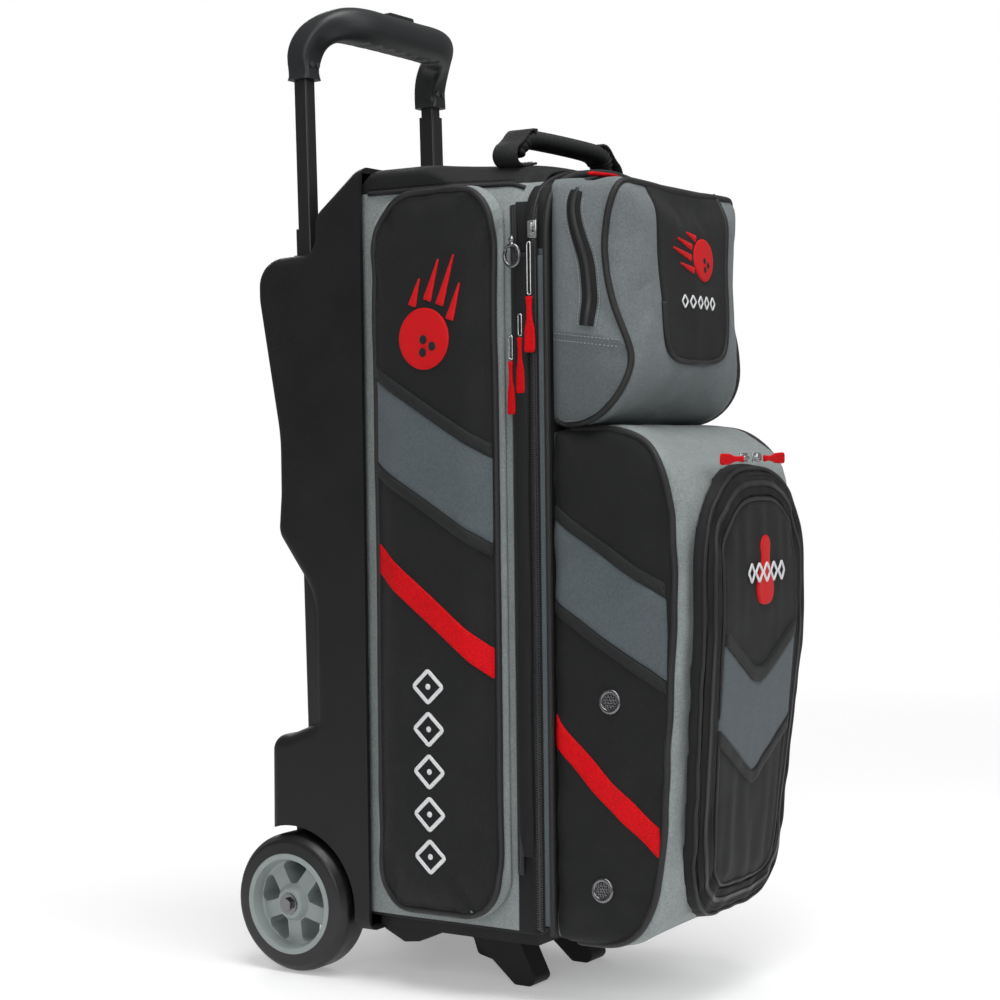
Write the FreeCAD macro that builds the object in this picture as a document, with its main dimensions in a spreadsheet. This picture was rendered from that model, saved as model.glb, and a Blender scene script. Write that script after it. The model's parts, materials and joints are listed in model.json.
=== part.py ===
import FreeCAD, Part
import math
import os

# Rolling ball bag for three bowling balls: moulded back shell on two wheels, telescopic
# trolley handle, padded fabric body, and a front door that carries the shoe and
# accessory pockets.  +Z is up, the front faces -Y, the floor is Z = 0.

doc = FreeCAD.newDocument("RollingBallBag")
Vector = FreeCAD.Vector

# ---------------------------------------------------------------- driving dimensions
DIMENSIONS = {
    # wheels
    "wheel_radius": 63.5, "tyre_width": 43, "hub_radius": 46, "hub_face": 132,
    "axle_back": 174, "axle_radius": 6, "well_radius": 71, "well_inner": 84,
    # moulded back shell
    "shell_half": 125, "seam_back": 87, "shell_top": 729, "shell_wall": 4,
    "shell_round": 12, "shoulder_top": 653, "shoulder_back": 208,
    # trolley
    "pole_spread": 101.5, "pole_tilt": 1.1, "pole_foot_back": 149.3,
    "outer_tube": 21, "middle_tube": 17.4, "inner_tube": 14.1, "tube_wall": 1.4,
    "grip_top": 884, "bar_radius": 17, "bar_forward": 33, "leg_width": 25, "leg_bottom": 816,
    # fabric body
    "body_half": 115, "body_top": 728, "body_bottom": 60, "fabric_wall": 5,
    "door_back": -88, "rear_wall": 136.5, "pocket_face": 137,
    # door and its pockets
    "door_half": 114, "door_depth": 11, "shoe_half": 109, "shoe_top": 494,
    "shoe_front": -226, "flap_half": 99, "flap_front": -237.5,
    "upper_half": 109, "upper_front": -176, "upper_bottom": 495.5, "upper_top": 706,
    # balls that the bag is made for
    "ball_radius": 109, "ball_centre_back": 21.5,
    # stand
    "foot_height": 50, "foot_width": 26, "foot_spread": 50,
}

sheet = doc.addObject("Spreadsheet::Sheet", "Dims")
for row, (alias, number) in enumerate(DIMENSIONS.items(), start=1):
    sheet.set(f"A{row}", alias)
    sheet.set(f"B{row}", str(number))
    sheet.setAlias(f"B{row}", alias)
doc.recompute()


def size(alias):
    return float(sheet.get(alias))


parts = []


def sub_part(feature, label):
    """Mark a document object as a finished sub-part."""
    feature.Label = label
    parts.append(feature)
    return feature


# ---------------------------------------------------------------- modelling helpers
def bind(feature, **expressions):
    """Bind properties of a feature to the spreadsheet."""
    for name, expression in expressions.items():
        text = str(expression)
        for alias in sorted(DIMENSIONS, key=len, reverse=True):
            text = text.replace(f"<{alias}>", f"Dims.{alias}")
        feature.setExpression(name, text)
    return feature


def box(name, corner, lengths, expressions=None):
    """Part::Box from its lowest corner and its lengths."""
    made = doc.addObject("Part::Box", name)
    made.Length, made.Width, made.Height = lengths
    made.Placement.Base = Vector(*corner)
    return bind(made, **(expressions or {}))


def cylinder_x(name, radius, x_from, length, y, z):
    """Part::Cylinder lying along X."""
    made = doc.addObject("Part::Cylinder", name)
    made.Height = length
    bind(made, Radius=radius)
    made.Placement = FreeCAD.Placement(Vector(x_from, y, z), FreeCAD.Rotation(Vector(0, 1, 0), 90))
    return made


def cut(name, base, tool):
    made = doc.addObject("Part::Cut", name)
    made.Base = base
    made.Tool = tool
    return made


def fuse(name, shapes):
    made = doc.addObject("Part::MultiFuse", name)
    made.Shapes = shapes
    return made


def common(name, first, second):
    made = doc.addObject("Part::MultiCommon", name)
    made.Shapes = [first, second]
    return made


def rounded_outline(sketch, corners):
    """Closed outline of straight lines with an arc of its own radius at each corner (u, v, r)."""
    count = len(corners)
    joints = []
    for index, (u, v, radius) in enumerate(corners):
        here = Vector(u, v, 0)
        back = Vector(*corners[index - 1][:2], 0) - here
        ahead = Vector(*corners[(index + 1) % count][:2], 0) - here
        if radius <= 0:
            joints.append((here, here, None))
            continue
        half_angle = back.getAngle(ahead) / 2
        reach = radius / math.tan(half_angle)
        start = here + back.normalize() * reach
        end = here + ahead.normalize() * reach
        middle_direction = (back + ahead).normalize()
        centre = here + middle_direction * (radius / math.sin(half_angle))
        joints.append((start, end, centre - middle_direction * radius))
    for index, (start, end, middle) in enumerate(joints):
        if middle is not None:
            sketch.addGeometry(Part.Arc(start, middle, end), False)
        following = joints[(index + 1) % count][0]
        if (following - end).Length > 0.01:
            sketch.addGeometry(Part.LineSegment(end, following), False)


def new_body(name):
    body = doc.addObject("PartDesign::Body", name)
    body.Label = name
    return body


def sketch_on(body, role, name, offset=0):
    """Sketch on one of the body's own origin planes, moved along that plane's normal."""
    sketch = body.newObject("Sketcher::SketchObject", name)
    plane = next(item for item in body.Origin.OriginFeatures if item.Role == role)
    sketch.AttachmentSupport = [(plane, "")]
    sketch.MapMode = "FlatFace"
    sketch.AttachmentOffset = FreeCAD.Placement(Vector(0, 0, offset), FreeCAD.Rotation())
    return sketch


def pad(body, sketch, name, length, midplane=False, reverse=False):
    made = body.newObject("PartDesign::Pad", name)
    made.Profile = sketch
    bind(made, Length=length)
    if midplane:
        made.Midplane = True
    made.Reversed = reverse
    sketch.Visibility = False
    doc.recompute()
    return made


def prism(name, role, corners, length, offset=0, midplane=True, reverse=False):
    """Body with one pad of a rounded outline."""
    body = new_body(name)
    sketch = sketch_on(body, role, name + "_outline", offset)
    rounded_outline(sketch, corners)
    pad(body, sketch, name + "_pad", length, midplane, reverse)
    return body


def round_edges(body, radius, wanted):
    """Fillet the edges of the body's tip that pass the test."""
    tip = body.Tip
    names = [f"Edge{i}" for i, edge in enumerate(tip.Shape.Edges, start=1) if wanted(edge)]
    made = body.newObject("PartDesign::Fillet", body.Name + "_round")
    made.Base = (tip, names)
    bind(made, Radius=radius)
    doc.recompute()
    return made


def lies_on(edge, axis, place, tolerance=0.05):
    """True when the whole edge lies at one coordinate."""
    box_of_edge = edge.BoundBox
    low = getattr(box_of_edge, axis + "Min")
    high = getattr(box_of_edge, axis + "Max")
    return abs(low - place) < tolerance and abs(high - place) < tolerance


# ---------------------------------------------------------------- moulded back shell
shell_half = size("shell_half")
seam = size("seam_back")
shell_top = size("shell_top")
shoulder = size("shoulder_top")
shoulder_back = size("shoulder_back")
axle_back = size("axle_back")
axle_height = size("wheel_radius")
recess_back = 147.5
lower_back = 199

shell_outer = prism("shell_outer", "YZ_Plane", [
    (seam, shell_top, 0), (96, shell_top - 2, 20), (142, 690, 18), (143, shoulder + 3, 15),
    (shoulder_back, shoulder, 26), (shoulder_back, 616, 60), (186, 490, 160), (186, 438, 70),
    (189, 402, 20), (recess_back, 345, 60), (recess_back, 230, 8), (180, 217, 18),
    (lower_back, 217, 15), (lower_back + 2, 46, 15), (seam, 46, 0),
], "2 * <shell_half>")
round_edges(shell_outer, "<shell_round>", lambda edge: (
    (lies_on(edge, "X", shell_half) or lies_on(edge, "X", -shell_half))
    and not lies_on(edge, "Y", seam)))

shell_cavity = prism("shell_cavity", "YZ_Plane", [
    (seam - 5, shell_top - 5, 0), (93, shell_top - 6, 14), (137, 688, 10), (138.5, 648, 0),
    (shoulder_back - 5, shoulder - 5, 20), (shoulder_back - 5, 617, 40), (181, 490, 160),
    (181, 438, 70), (183, 404, 14), (recess_back - 4, 347, 50), (recess_back - 4, 226, 8),
    (178, 212, 14), (lower_back - 4, 212, 10), (lower_back - 3, 51, 10), (seam - 5, 51, 0),
], "2 * (<shell_half> - <shell_wall>)")


def wheel_cylinders(name, radius, inner):
    """A pair of cylinders about the wheel axis, reaching out from one X distance each side."""
    reach = shell_half + 6 - inner
    left = cylinder_x(name + "_left", radius, -inner - reach, reach, axle_back, axle_height)
    right = cylinder_x(name + "_right", radius, inner, reach, axle_back, axle_height)
    return fuse(name, [left, right])


well_inner = size("well_inner")
shell_hollow = cut("shell_hollow", shell_cavity,
                   wheel_cylinders("well_lining", "<well_radius> + <shell_wall>", well_inner - 4))
shell_open = cut("shell_open", shell_outer, shell_hollow)
shell_wells = cut("shell_wells", shell_open, wheel_cylinders("wells", "<well_radius>", well_inner))

# Tubes run through the shell along the trolley's own leaning axis.
trolley_frame = FreeCAD.Placement(
    Vector(0, size("pole_foot_back"), 0),
    FreeCAD.Rotation(Vector(1, 0, 0), -size("pole_tilt")))
sides = {"left": -1, "right": 1}
spread = size("pole_spread")


def square_bar(name, side, alias, clearance, z_from, z_to, corner=2.5):
    """Solid square bar on the trolley axis of one side, with rounded long edges."""
    half = (size(alias) + clearance) / 2
    x = sides[side] * spread
    body = new_body(name)
    sketch = sketch_on(body, "XY_Plane", name + "_outline", z_from)
    rounded_outline(sketch, [(x - half, -half, corner), (x + half, -half, corner),
                             (x + half, half, corner), (x - half, half, corner)])
    pad(body, sketch, name + "_pad", z_to - z_from)
    body.Placement = trolley_frame
    return body


tube_foot = axle_height + size("well_radius") + 6.5
clear_bars = [square_bar(f"tube_way_{side}", side, "outer_tube", 0.6, tube_foot - 0.5, 700, 2.8)
              for side in sides]
shell_tubed = cut("shell_tubed", shell_wells, fuse("tube_ways", clear_bars))
axle_way = cylinder_x("axle_way", "<axle_radius> + 0.05", -shell_half, 2 * shell_half,
                      axle_back, axle_height)
sub_part(cut("back_shell", shell_tubed, axle_way), "back_shell")

# ---------------------------------------------------------------- trolley handle
wall = size("tube_wall")
TUBE_SPANS = {"outer": (tube_foot, 656), "middle_left": (160, 680), "middle_right": (287, 807),
              "inner": (280, 826)}


def square_tube(label, side, alias, span, corner):
    """Square tube with a hollow right through it."""
    outside = square_bar(label + "_bar", side, alias, 0, span[0], span[1], corner)
    inside = square_bar(label + "_bore", side, alias, -2 * wall, span[0] - 1, span[1] + 1,
                        max(corner - wall, 0.4))
    return sub_part(cut(label, outside, inside), label)


for side in sides:
    square_tube(f"outer_tube_{side}", side, "outer_tube", TUBE_SPANS["outer"], 2.6)
    square_tube(f"middle_tube_{side}", side, "middle_tube", TUBE_SPANS[f"middle_{side}"], 2.2)
    square_tube(f"inner_tube_{side}", side, "inner_tube", TUBE_SPANS["inner"], 1.8)

# The grip is one loft: square legs that sweep forward and inward into a round bar.
grip_top = size("grip_top")
leg_bottom = size("leg_bottom")
leg_half = size("leg_width") / 2
bar_radius = size("bar_radius")
bar_forward = size("bar_forward")
bar_height = grip_top - bar_radius
GRIP_STATIONS = [
    # x, y, z, half width, half depth, squareness; from a leg's foot to the middle of the bar
    (spread, 0, leg_bottom, leg_half, leg_half, 5),
    (spread, 0, bar_height - 33, leg_half, leg_half, 5),
    (spread - 4, -0.26 * bar_forward, bar_height - 13, leg_half + 1, leg_half + 1, 3.6),
    (spread - 18, -0.68 * bar_forward, bar_height - 2, bar_radius - 2, bar_radius - 1.5, 2.8),
    (60, -0.95 * bar_forward, bar_height, bar_radius, bar_radius + 1, 2.4),
    (30, -bar_forward, bar_height, bar_radius, bar_radius + 1.5, 2.3),
    (0, -bar_forward, bar_height, bar_radius, bar_radius + 1.5, 2.3),
]


def squared_ring(centre, along, half_width, half_depth, squareness):
    """Closed superellipse wire square to a direction, its depth axis kept near Y."""
    depth_axis = (Vector(0, 1, 0) - along * along.y).normalize()
    width_axis = depth_axis.cross(along)
    points = []
    steps = 32
    for step in range(steps):
        angle = 2 * math.pi * step / steps
        across = math.copysign(abs(math.cos(angle)) ** (2 / squareness), math.cos(angle))
        deep = math.copysign(abs(math.sin(angle)) ** (2 / squareness), math.sin(angle))
        points.append(centre + width_axis * (half_width * across) + depth_axis * (half_depth * deep))
    curve = Part.BSplineCurve()
    curve.interpolate(Points=points, PeriodicFlag=True, Parameters=list(range(steps + 1)))
    return Part.Wire(curve.toShape())


def grip_loft(stations):
    """Loft through the stations of one half and their mirror images."""
    mirrored = [(-x, y, z, wide, deep, power) for x, y, z, wide, deep, power in stations]
    whole = mirrored + stations[-2::-1]
    centres = [Vector(*station[:3]) for station in whole]
    rings = []
    for index, station in enumerate(whole):
        before = centres[max(index - 1, 0)]
        after = centres[min(index + 1, len(whole) - 1)]
        rings.append(squared_ring(centres[index], (after - before).normalize(), *station[3:]))
    return Part.makeLoft(rings, True, False)


grip = doc.addObject("Part::Feature", "grip_solid")
grip.Shape = grip_loft(GRIP_STATIONS)
grip.Placement = trolley_frame

# Finger grooves under the bar and the recess for the release button.
bar_under = bar_height - bar_radius
grooves = []
groove_pitch = 19
for index in range(-3, 4):
    groove = doc.addObject("Part::Cylinder", f"finger_groove_{index + 3}")
    groove.Radius = 12
    groove.Height = 44
    groove.Placement = trolley_frame.multiply(FreeCAD.Placement(
        Vector(index * groove_pitch, 22 - bar_forward, bar_under - 10),
        FreeCAD.Rotation(Vector(1, 0, 0), 90)))
    grooves.append(groove)
button_half = 20
button_width = 13
button_way = box("button_way", (0, 0, 0), (2 * button_half + 1, button_width + 1, 20))
button_way.Placement = trolley_frame.multiply(FreeCAD.Placement(
    Vector(-button_half - 0.5, -bar_forward - button_width / 2 - 0.5, grip_top - 14),
    FreeCAD.Rotation()))
tube_sockets = [square_bar(f"leg_socket_{side}", side, "inner_tube", 0, leg_bottom - 1, 826, 1.8)
                for side in sides]

# Two screws side by side on the front of each leg hold the tubes in the grip.
screw_heads = []
screw_holes = []
for side in sides:
    for offset in (-4.6, 4.6):
        place = f"{side}_{'inner' if offset < 0 else 'outer'}"
        for label, radius, sink, group in (("screw", 2.8, 1, screw_heads),
                                           ("screw_hole", 2.9, 1.1, screw_holes)):
            head = doc.addObject("Part::Cylinder", f"{label}_{place}")
            head.Radius = radius
            head.Height = 1.6
            head.Placement = trolley_frame.multiply(FreeCAD.Placement(
                Vector(sides[side] * spread + offset, -leg_half + sink, leg_bottom + 13),
                FreeCAD.Rotation(Vector(1, 0, 0), 90)))
            group.append(head)
grip_hollows = fuse("grip_hollows", grooves + [button_way] + tube_sockets + screw_holes)
sub_part(cut("grip", grip, grip_hollows), "grip")
sub_part(fuse("grip_screws", screw_heads), "grip_screws")

button = prism("grip_button", "XZ_Plane", [
    (-button_half, grip_top - 9.5, 1), (-button_half, grip_top + 2.5, 2.5),
    (button_half, grip_top + 2.5, 2.5), (button_half, grip_top - 9.5, 1)],
    button_width, offset=bar_forward)
button.Placement = trolley_frame
sub_part(button, "grip_button")

# ---------------------------------------------------------------- wheels and axle
hub_face = size("hub_face")
hub_radius = size("hub_radius")
tyre_width = size("tyre_width")
tyre_centre = hub_face - 1 - tyre_width / 2
hub_inner = hub_face - tyre_width - 1


def revolved(name, corners):
    """Body revolved about the sketch's horizontal axis, then laid on the wheel axis."""
    body = new_body(name)
    sketch = sketch_on(body, "XZ_Plane", name + "_profile")
    rounded_outline(sketch, corners)
    made = body.newObject("PartDesign::Revolution", name + "_turn")
    made.Profile = sketch
    made.ReferenceAxis = (sketch, ["H_Axis"])
    made.Angle = 360
    sketch.Visibility = False
    body.Placement.Base = Vector(0, axle_back, axle_height)
    doc.recompute()
    return body


def spoke_windows(name, sign):
    """Five windows between the spokes of a hub, as one cutting tool."""
    count = 5
    tools = []
    for index in range(count):
        window = prism(f"{name}_{index}", "YZ_Plane", [
            (-3.5, 17.5, 2.5), (3.5, 17.5, 2.5), (15, 33.5, 4.5), (7.5, 37.5, 8), (-7.5, 37.5, 8),
            (-15, 33.5, 4.5)], 80)
        window.Placement = FreeCAD.Placement(
            Vector(sign * tyre_centre, axle_back, axle_height),
            FreeCAD.Rotation(Vector(1, 0, 0), 360 / count * index))
        tools.append(window)
    return fuse(name, tools)


for side, sign in sides.items():
    near, far = hub_inner, hub_face - 1
    rim = size("wheel_radius")
    tyre = revolved(f"tyre_{side}", [
        (sign * near, hub_radius, 0), (sign * (near + 1), rim - 6, 5),
        (sign * (near + 9), rim, 12), (sign * (far - 9), rim, 12),
        (sign * (far - 1), rim - 6, 5), (sign * far, hub_radius, 0)])
    sub_part(tyre, f"tyre_{side}")
    dish = hub_face - 5
    hub_solid = revolved(f"hub_solid_{side}", [
        (sign * (near + 4), size("axle_radius") + 0.1, 0), (sign * (near + 4), 14, 1),
        (sign * (near + 8), 36, 2), (sign * (near + 2), 42, 2), (sign * (near + 2), hub_radius, 0),
        (sign * hub_face, hub_radius, 1), (sign * hub_face, 41, 1), (sign * (dish - 7), 38, 2),
        (sign * (dish - 4), 17, 3), (sign * (dish + 3), 13, 1.5),
        (sign * (dish + 3), size("axle_radius") + 0.1, 0)])
    sub_part(cut(f"hub_{side}", hub_solid, spoke_windows(f"windows_{side}", sign)), f"hub_{side}")
    # The bolt that holds the wheel on: flange washer, hexagon head.
    washer = cylinder_x(f"washer_{side}", 9.5, sign * (dish + 3.2) - (1.6 if sign < 0 else 0), 1.6,
                        axle_back, axle_height)
    head = doc.addObject("Part::Prism", f"bolt_head_{side}")
    head.Polygon = 6
    head.Circumradius = 6.2
    head.Height = 4
    head.Placement = FreeCAD.Placement(
        Vector(sign * (dish + 4.8) - (4 if sign < 0 else 0), axle_back, axle_height),
        FreeCAD.Rotation(Vector(0, 1, 0), 90))
    sub_part(fuse(f"axle_bolt_{side}", [washer, head]), f"axle_bolt_{side}")
    # Spacer between the shell and the hub.
    ring = cylinder_x(f"spacer_ring_{side}", 11, sign * well_inner - (3 if sign < 0 else 0), 3,
                      axle_back, axle_height)
    hole = cylinder_x(f"spacer_hole_{side}", "<axle_radius> + 0.05",
                      sign * well_inner - (4 if sign < 0 else 1), 5, axle_back, axle_height)
    sub_part(cut(f"wheel_spacer_{side}", ring, hole), f"wheel_spacer_{side}")

axle_half = hub_face - 5 + 3.2
sub_part(cylinder_x("axle", "<axle_radius>", -axle_half, 2 * axle_half, axle_back, axle_height), "axle")

# ---------------------------------------------------------------- base tray and feet
body_bottom = size("body_bottom")
door_back = size("door_back")
tray_plate = box("tray_plate", (-108, door_back + 8, 50), (216, seam - door_back - 9, 9.5))
skids = []
for sign in (-1, 1):
    skid = prism(f"rear_skid_{'left' if sign < 0 else 'right'}", "YZ_Plane", [
        (86, 52, 0), (86, 46, 3), (64, 36, 5), (48, 38, 6), (20, 50, 0), (20, 52, 0)],
        14, offset=sign * 96)
    skids.append(skid)
centre_rib = prism("centre_rib", "YZ_Plane", [
    (86, 52, 0), (86, 43, 3), (-70, 45, 3), (-76, 52, 0)], 50)
sub_part(fuse("base_tray", [tray_plate, centre_rib] + skids), "base_tray")

foot_height = size("foot_height")
foot_half = size("foot_width") / 2
for side, sign in sides.items():
    leg = prism(f"foot_leg_{side}", "YZ_Plane", [
        (30, foot_height, 0), (24, foot_height - 7, 4), (-27, 0, 5), (-44, 0, 6),
        (-49, 6, 5), (-30, foot_height - 6, 8), (-28, foot_height, 0)],
        "<foot_width>", offset=sign * size("foot_spread"))
    brace_x = sign * (size("foot_spread") - foot_half - 5)
    brace = prism(f"foot_brace_{side}", "YZ_Plane", [
        (40, foot_height, 0), (28, 16, 5), (10, 12, 5), (-8, 26, 6), (-14, foot_height, 0)],
        12, offset=brace_x)
    sub_part(fuse(f"foot_{side}", [leg, brace]), f"foot_{side}")

# ---------------------------------------------------------------- fabric main body
body_half = size("body_half")
body_top = size("body_top")
rear_wall = size("rear_wall")
cloth = size("fabric_wall")


def body_outline(inset, front):
    """Side outline of the main compartment, drawn in from its outer faces by an inset."""
    return [
        (front, body_bottom + inset, 0), (front, body_top - 7 - inset, 0),
        (-60, body_top - 1 - inset, 40), (seam - 0.5, body_top - inset, 0),
        (seam - 0.5, body_top - 6 - inset, 0), (91 - inset / 2, body_top - 8 - inset, 0),
        (rear_wall - inset, 683, 0), (rear_wall - inset, body_bottom + inset, 0)]


compartment_outer = prism("compartment_outer", "YZ_Plane", body_outline(0, door_back),
                          "2 * <body_half>")
compartment_inner = prism("compartment_inner", "YZ_Plane", body_outline(cloth, door_back - 2),
                          "2 * (<body_half> - <fabric_wall>)")
compartment_hollow = cut("compartment_hollow", compartment_inner,
                         wheel_cylinders("inner_well", "<well_radius> + 10.5", well_inner - 10))
compartment_open = cut("compartment_open", compartment_outer, compartment_hollow)
sub_part(cut("main_compartment", compartment_open,
             wheel_cylinders("outer_well", "<well_radius> + 5", well_inner - 5)), "main_compartment")

# Foam cradles hold each ball from behind, with thin shelves between the balls.
ball_radius = size("ball_radius")
ball_pitch = 2 * ball_radius + 0.5
first_ball = body_bottom + cloth + ball_radius + 0.5
cradle_half = body_half - cloth - 0.5
for number in range(3):
    height = first_ball + number * ball_pitch
    bottom = height - ball_radius + (4 if number else 0)
    top = height + (68 if number == 2 else ball_radius - 3.5)
    block = box(f"cradle_block_{number + 1}", (-cradle_half, 62, bottom),
                (2 * cradle_half, rear_wall - cloth - 62.5, top - bottom))
    ball = doc.addObject("Part::Sphere", f"ball_space_{number + 1}")
    bind(ball, Radius="<ball_radius> + 1")
    ball.Placement.Base = Vector(0, size("ball_centre_back"), height)
    back_hole = doc.addObject("Part::Cylinder", f"cradle_hole_{number + 1}")
    back_hole.Radius = 30
    back_hole.Height = 80
    back_hole.Placement = FreeCAD.Placement(Vector(0, 60, height),
                                            FreeCAD.Rotation(Vector(1, 0, 0), -90))
    cradle = cut(f"cradle_{number + 1}", block, fuse(f"cradle_space_{number + 1}", [ball, back_hole]))
    if number == 0:
        cradle = cut("cradle_low", cradle, wheel_cylinders("cradle_well", "<well_radius> + 11",
                                                           well_inner - 11))
    sub_part(cradle, f"ball_cradle_{number + 1}")
for number in (1, 2):
    height = first_ball + (number - 0.5) * ball_pitch
    shelf = box(f"shelf_plate_{number}", (-cradle_half, -78, height - 3), (2 * cradle_half, 139, 6))
    hole = doc.addObject("Part::Cylinder", f"shelf_hole_{number}")
    hole.Radius = 45
    hole.Height = 10
    hole.Placement.Base = Vector(0, size("ball_centre_back"), height - 5)
    sub_part(cut(f"ball_shelf_{number}", shelf, hole), f"ball_shelf_{number}")

# Long side pockets stand proud of the body on both sides.
pocket_face = size("pocket_face")
for side, sign in sides.items():
    pocket = prism(f"side_pocket_{side}", "YZ_Plane", [
        (-61, 70, 42), (-61, 704, 36), (seam - 2, 704, 50), (seam - 2, 70, 42)],
        "<pocket_face> - <body_half> - 0.3", offset=sign * (body_half + 0.3), midplane=False,
        reverse=sign < 0)
    round_edges(pocket, 9, lambda edge: lies_on(edge, "X", sign * pocket_face))
    sub_part(pocket, f"side_pocket_{side}")

# ---------------------------------------------------------------- carry handle on top
handle_back = -46
handle_plane = -handle_back
handle_width = 25
carry = new_body("carry_handle")
carry_sketch = sketch_on(carry, "XZ_Plane", "carry_outline", handle_plane)
carry_foot = body_top + 1
rounded_outline(carry_sketch, [
    (-78, carry_foot + 6, 3), (-66, carry_foot + 28, 20), (66, carry_foot + 28, 20),
    (78, carry_foot + 6, 3), (66, carry_foot + 2.8, 3), (54, carry_foot + 13, 10),
    (-54, carry_foot + 13, 10), (-66, carry_foot + 2.8, 3)])
pad(carry, carry_sketch, "carry_pad", handle_width, midplane=True)
sub_part(carry, "carry_handle")
anchors = []
for sign in (-1, 1):
    anchors.append(box(f"anchor_{'left' if sign < 0 else 'right'}",
                       (66 if sign > 0 else -104, handle_back - 14, carry_foot - 0.5), (38, 28, 3)))
sub_part(fuse("carry_anchors", anchors), "carry_anchors")

# ---------------------------------------------------------------- front door
door_front = door_back - 0.5 - size("door_depth")
door_half = size("door_half")
sub_part(prism("door_panel", "XZ_Plane", [
    (-door_half, 60, 24), (-door_half, 696, 22), (-58, 716, 60), (0, 721, 200),
    (58, 716, 60), (door_half, 696, 22), (door_half, 60, 24)],
    "<door_depth>", offset=-door_back + 0.5, midplane=False), "door_panel")

# Cord in the hem along the right side, about which the door turns.
hinge_cord = doc.addObject("Part::Cylinder", "hinge_cord")
hinge_cord.Radius = 1.2
hinge_cord.Height = 600
hinge_cord.Placement.Base = Vector(body_half + 1.5, door_back - 0.25, 80)
sub_part(hinge_cord, "door_hinge_cord")

shoe_front = size("shoe_front")
shoe_top = size("shoe_top")
shoe_half = size("shoe_half")


def shoe_outline(offset):
    """Side outline of the shoe compartment, moved out at the front by an offset."""
    return [
        (door_front - 0.2, 56, 0), (door_front - 0.2, shoe_top + offset, 0),
        (shoe_front - offset, shoe_top + offset, 66), (shoe_front - offset, 330, 200),
        (-200 - offset, 54 - offset / 2, 46)]


shoe = prism("shoe_compartment", "YZ_Plane", shoe_outline(0), "2 * <shoe_half>")
round_edges(shoe, 13, lambda edge: (
    (lies_on(edge, "X", shoe_half) or lies_on(edge, "X", -shoe_half))
    and not lies_on(edge, "Y", door_front - 0.2)))
sub_part(shoe, "shoe_compartment")

flap_half = size("flap_half")
flap_foot = flap_half - 17
flap_thickness = shoe_front - size("flap_front")
flap_block = prism("flap_block", "XZ_Plane", [
    (-flap_foot, 74, 56), (-flap_half, 300, 300), (-flap_half, 461, 62), (flap_half, 461, 62),
    (flap_half, 300, 300), (flap_foot, 74, 56)], 80, offset=180, midplane=False)
flap_reach = prism("flap_reach", "YZ_Plane", shoe_outline(flap_thickness), "2 * <flap_half> + 10")
flap_slab = common("flap_slab", flap_block, flap_reach)
flap_clear = prism("flap_clear", "YZ_Plane", shoe_outline(0.3), "2 * <shoe_half>")
sub_part(cut("front_flap", flap_slab, flap_clear), "front_flap")

upper_half = size("upper_half")
upper_front = size("upper_front")
upper = prism("accessory_pocket", "YZ_Plane", [
    (door_front - 0.2, size("upper_bottom"), 0), (door_front - 0.2, size("upper_top"), 0),
    (upper_front + 4, size("upper_top") - 2, 15), (upper_front, 600, 100),
    (upper_front, size("upper_bottom"), 52)], "2 * <upper_half>")
round_edges(upper, 14, lambda edge: (
    (lies_on(edge, "X", upper_half) or lies_on(edge, "X", -upper_half))
    and not lies_on(edge, "Y", door_front - 0.2)))
sub_part(upper, "accessory_pocket")

# Round air vents low on each side of the shoe compartment.
vents = []
for sign in (-1, 1):
    for back, height in ((-157, 265), (-148, 106)):
        vents.append(cylinder_x(f"vent_{len(vents)}", 10, sign * (shoe_half + 1.2) - 1.2, 2.4,
                                back, height))
sub_part(fuse("vents", vents), "vents")

# ---------------------------------------------------------------- zip sliders and pulls
side_plane = -body_half - 1.5


def slab(name, corner, lengths, round_size=0.8):
    """Small block with rounded edges."""
    made = doc.addObject("Part::Fillet", name)
    base = box(name + "_block", corner, lengths)
    doc.recompute()
    made.Base = base
    made.Edges = [(index + 1, round_size, round_size) for index in range(len(base.Shape.Edges))]
    return made


PIVOTS = {"y": FreeCAD.Rotation(Vector(1, 0, 0), -90), "z": FreeCAD.Rotation()}


def with_pivot(name, solid, radius, base, length, axis):
    """Fuse a round pivot eye onto a swinging piece, along Y or Z."""
    eye = doc.addObject("Part::Cylinder", name + "_eye")
    eye.Radius = radius
    eye.Height = length
    eye.Placement = FreeCAD.Placement(Vector(*base), PIVOTS[axis])
    return fuse(name, [solid, eye])


def hanging_pull(label, x, y, top, link_length, tab_length, tab_width=11):
    """Thin metal link with a woven tab under it, hanging beside the fabric."""
    strip = slab(label + "_strip", (x - 1, y - 2.5, top - link_length), (2, 5, link_length - 1), 0.6)
    link = with_pivot(label + "_link", strip, 1.3, (x, y - 2.5, top - 1.3), 5, "y")
    sub_part(link, label + "_link")
    tab = slab(label + "_tab", (x - 1.6, y - tab_width / 2, top - link_length - tab_length - 0.2),
               (3.2, tab_width, tab_length), 1.2)
    sub_part(tab, label + "_tab")


sub_part(slab("main_slider", (side_plane - 5, door_back - 4.5, 655), (5, 9, 15), 1), "main_slider")
hanging_pull("main_pull", side_plane - 7, door_back, 652, 46, 48)
hanging_pull("pocket_pull_upper", side_plane - 3, -76, 592, 20, 48, 9)
hanging_pull("pocket_pull_lower", side_plane - 3, -66.5, 574, 22, 46, 8)

hook_x = side_plane - 11.5
hook_back = -74
swivel = slab("hook_swivel", (hook_x - 2.5, hook_back - 3, 650), (5, 6, 5), 1)
hook = doc.addObject("Part::Torus", "hook_ring")
hook.Radius1 = 9
hook.Radius2 = 1.8
hook.Placement = FreeCAD.Placement(Vector(hook_x, hook_back, 640.2),
                                   FreeCAD.Rotation(Vector(0, 1, 0), 90))
hook_body = fuse("hook_body", [swivel, hook])
sub_part(with_pivot("snap_hook", hook_body, 2, (hook_x, hook_back - 3, 655), 6, "y"), "snap_hook")

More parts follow.
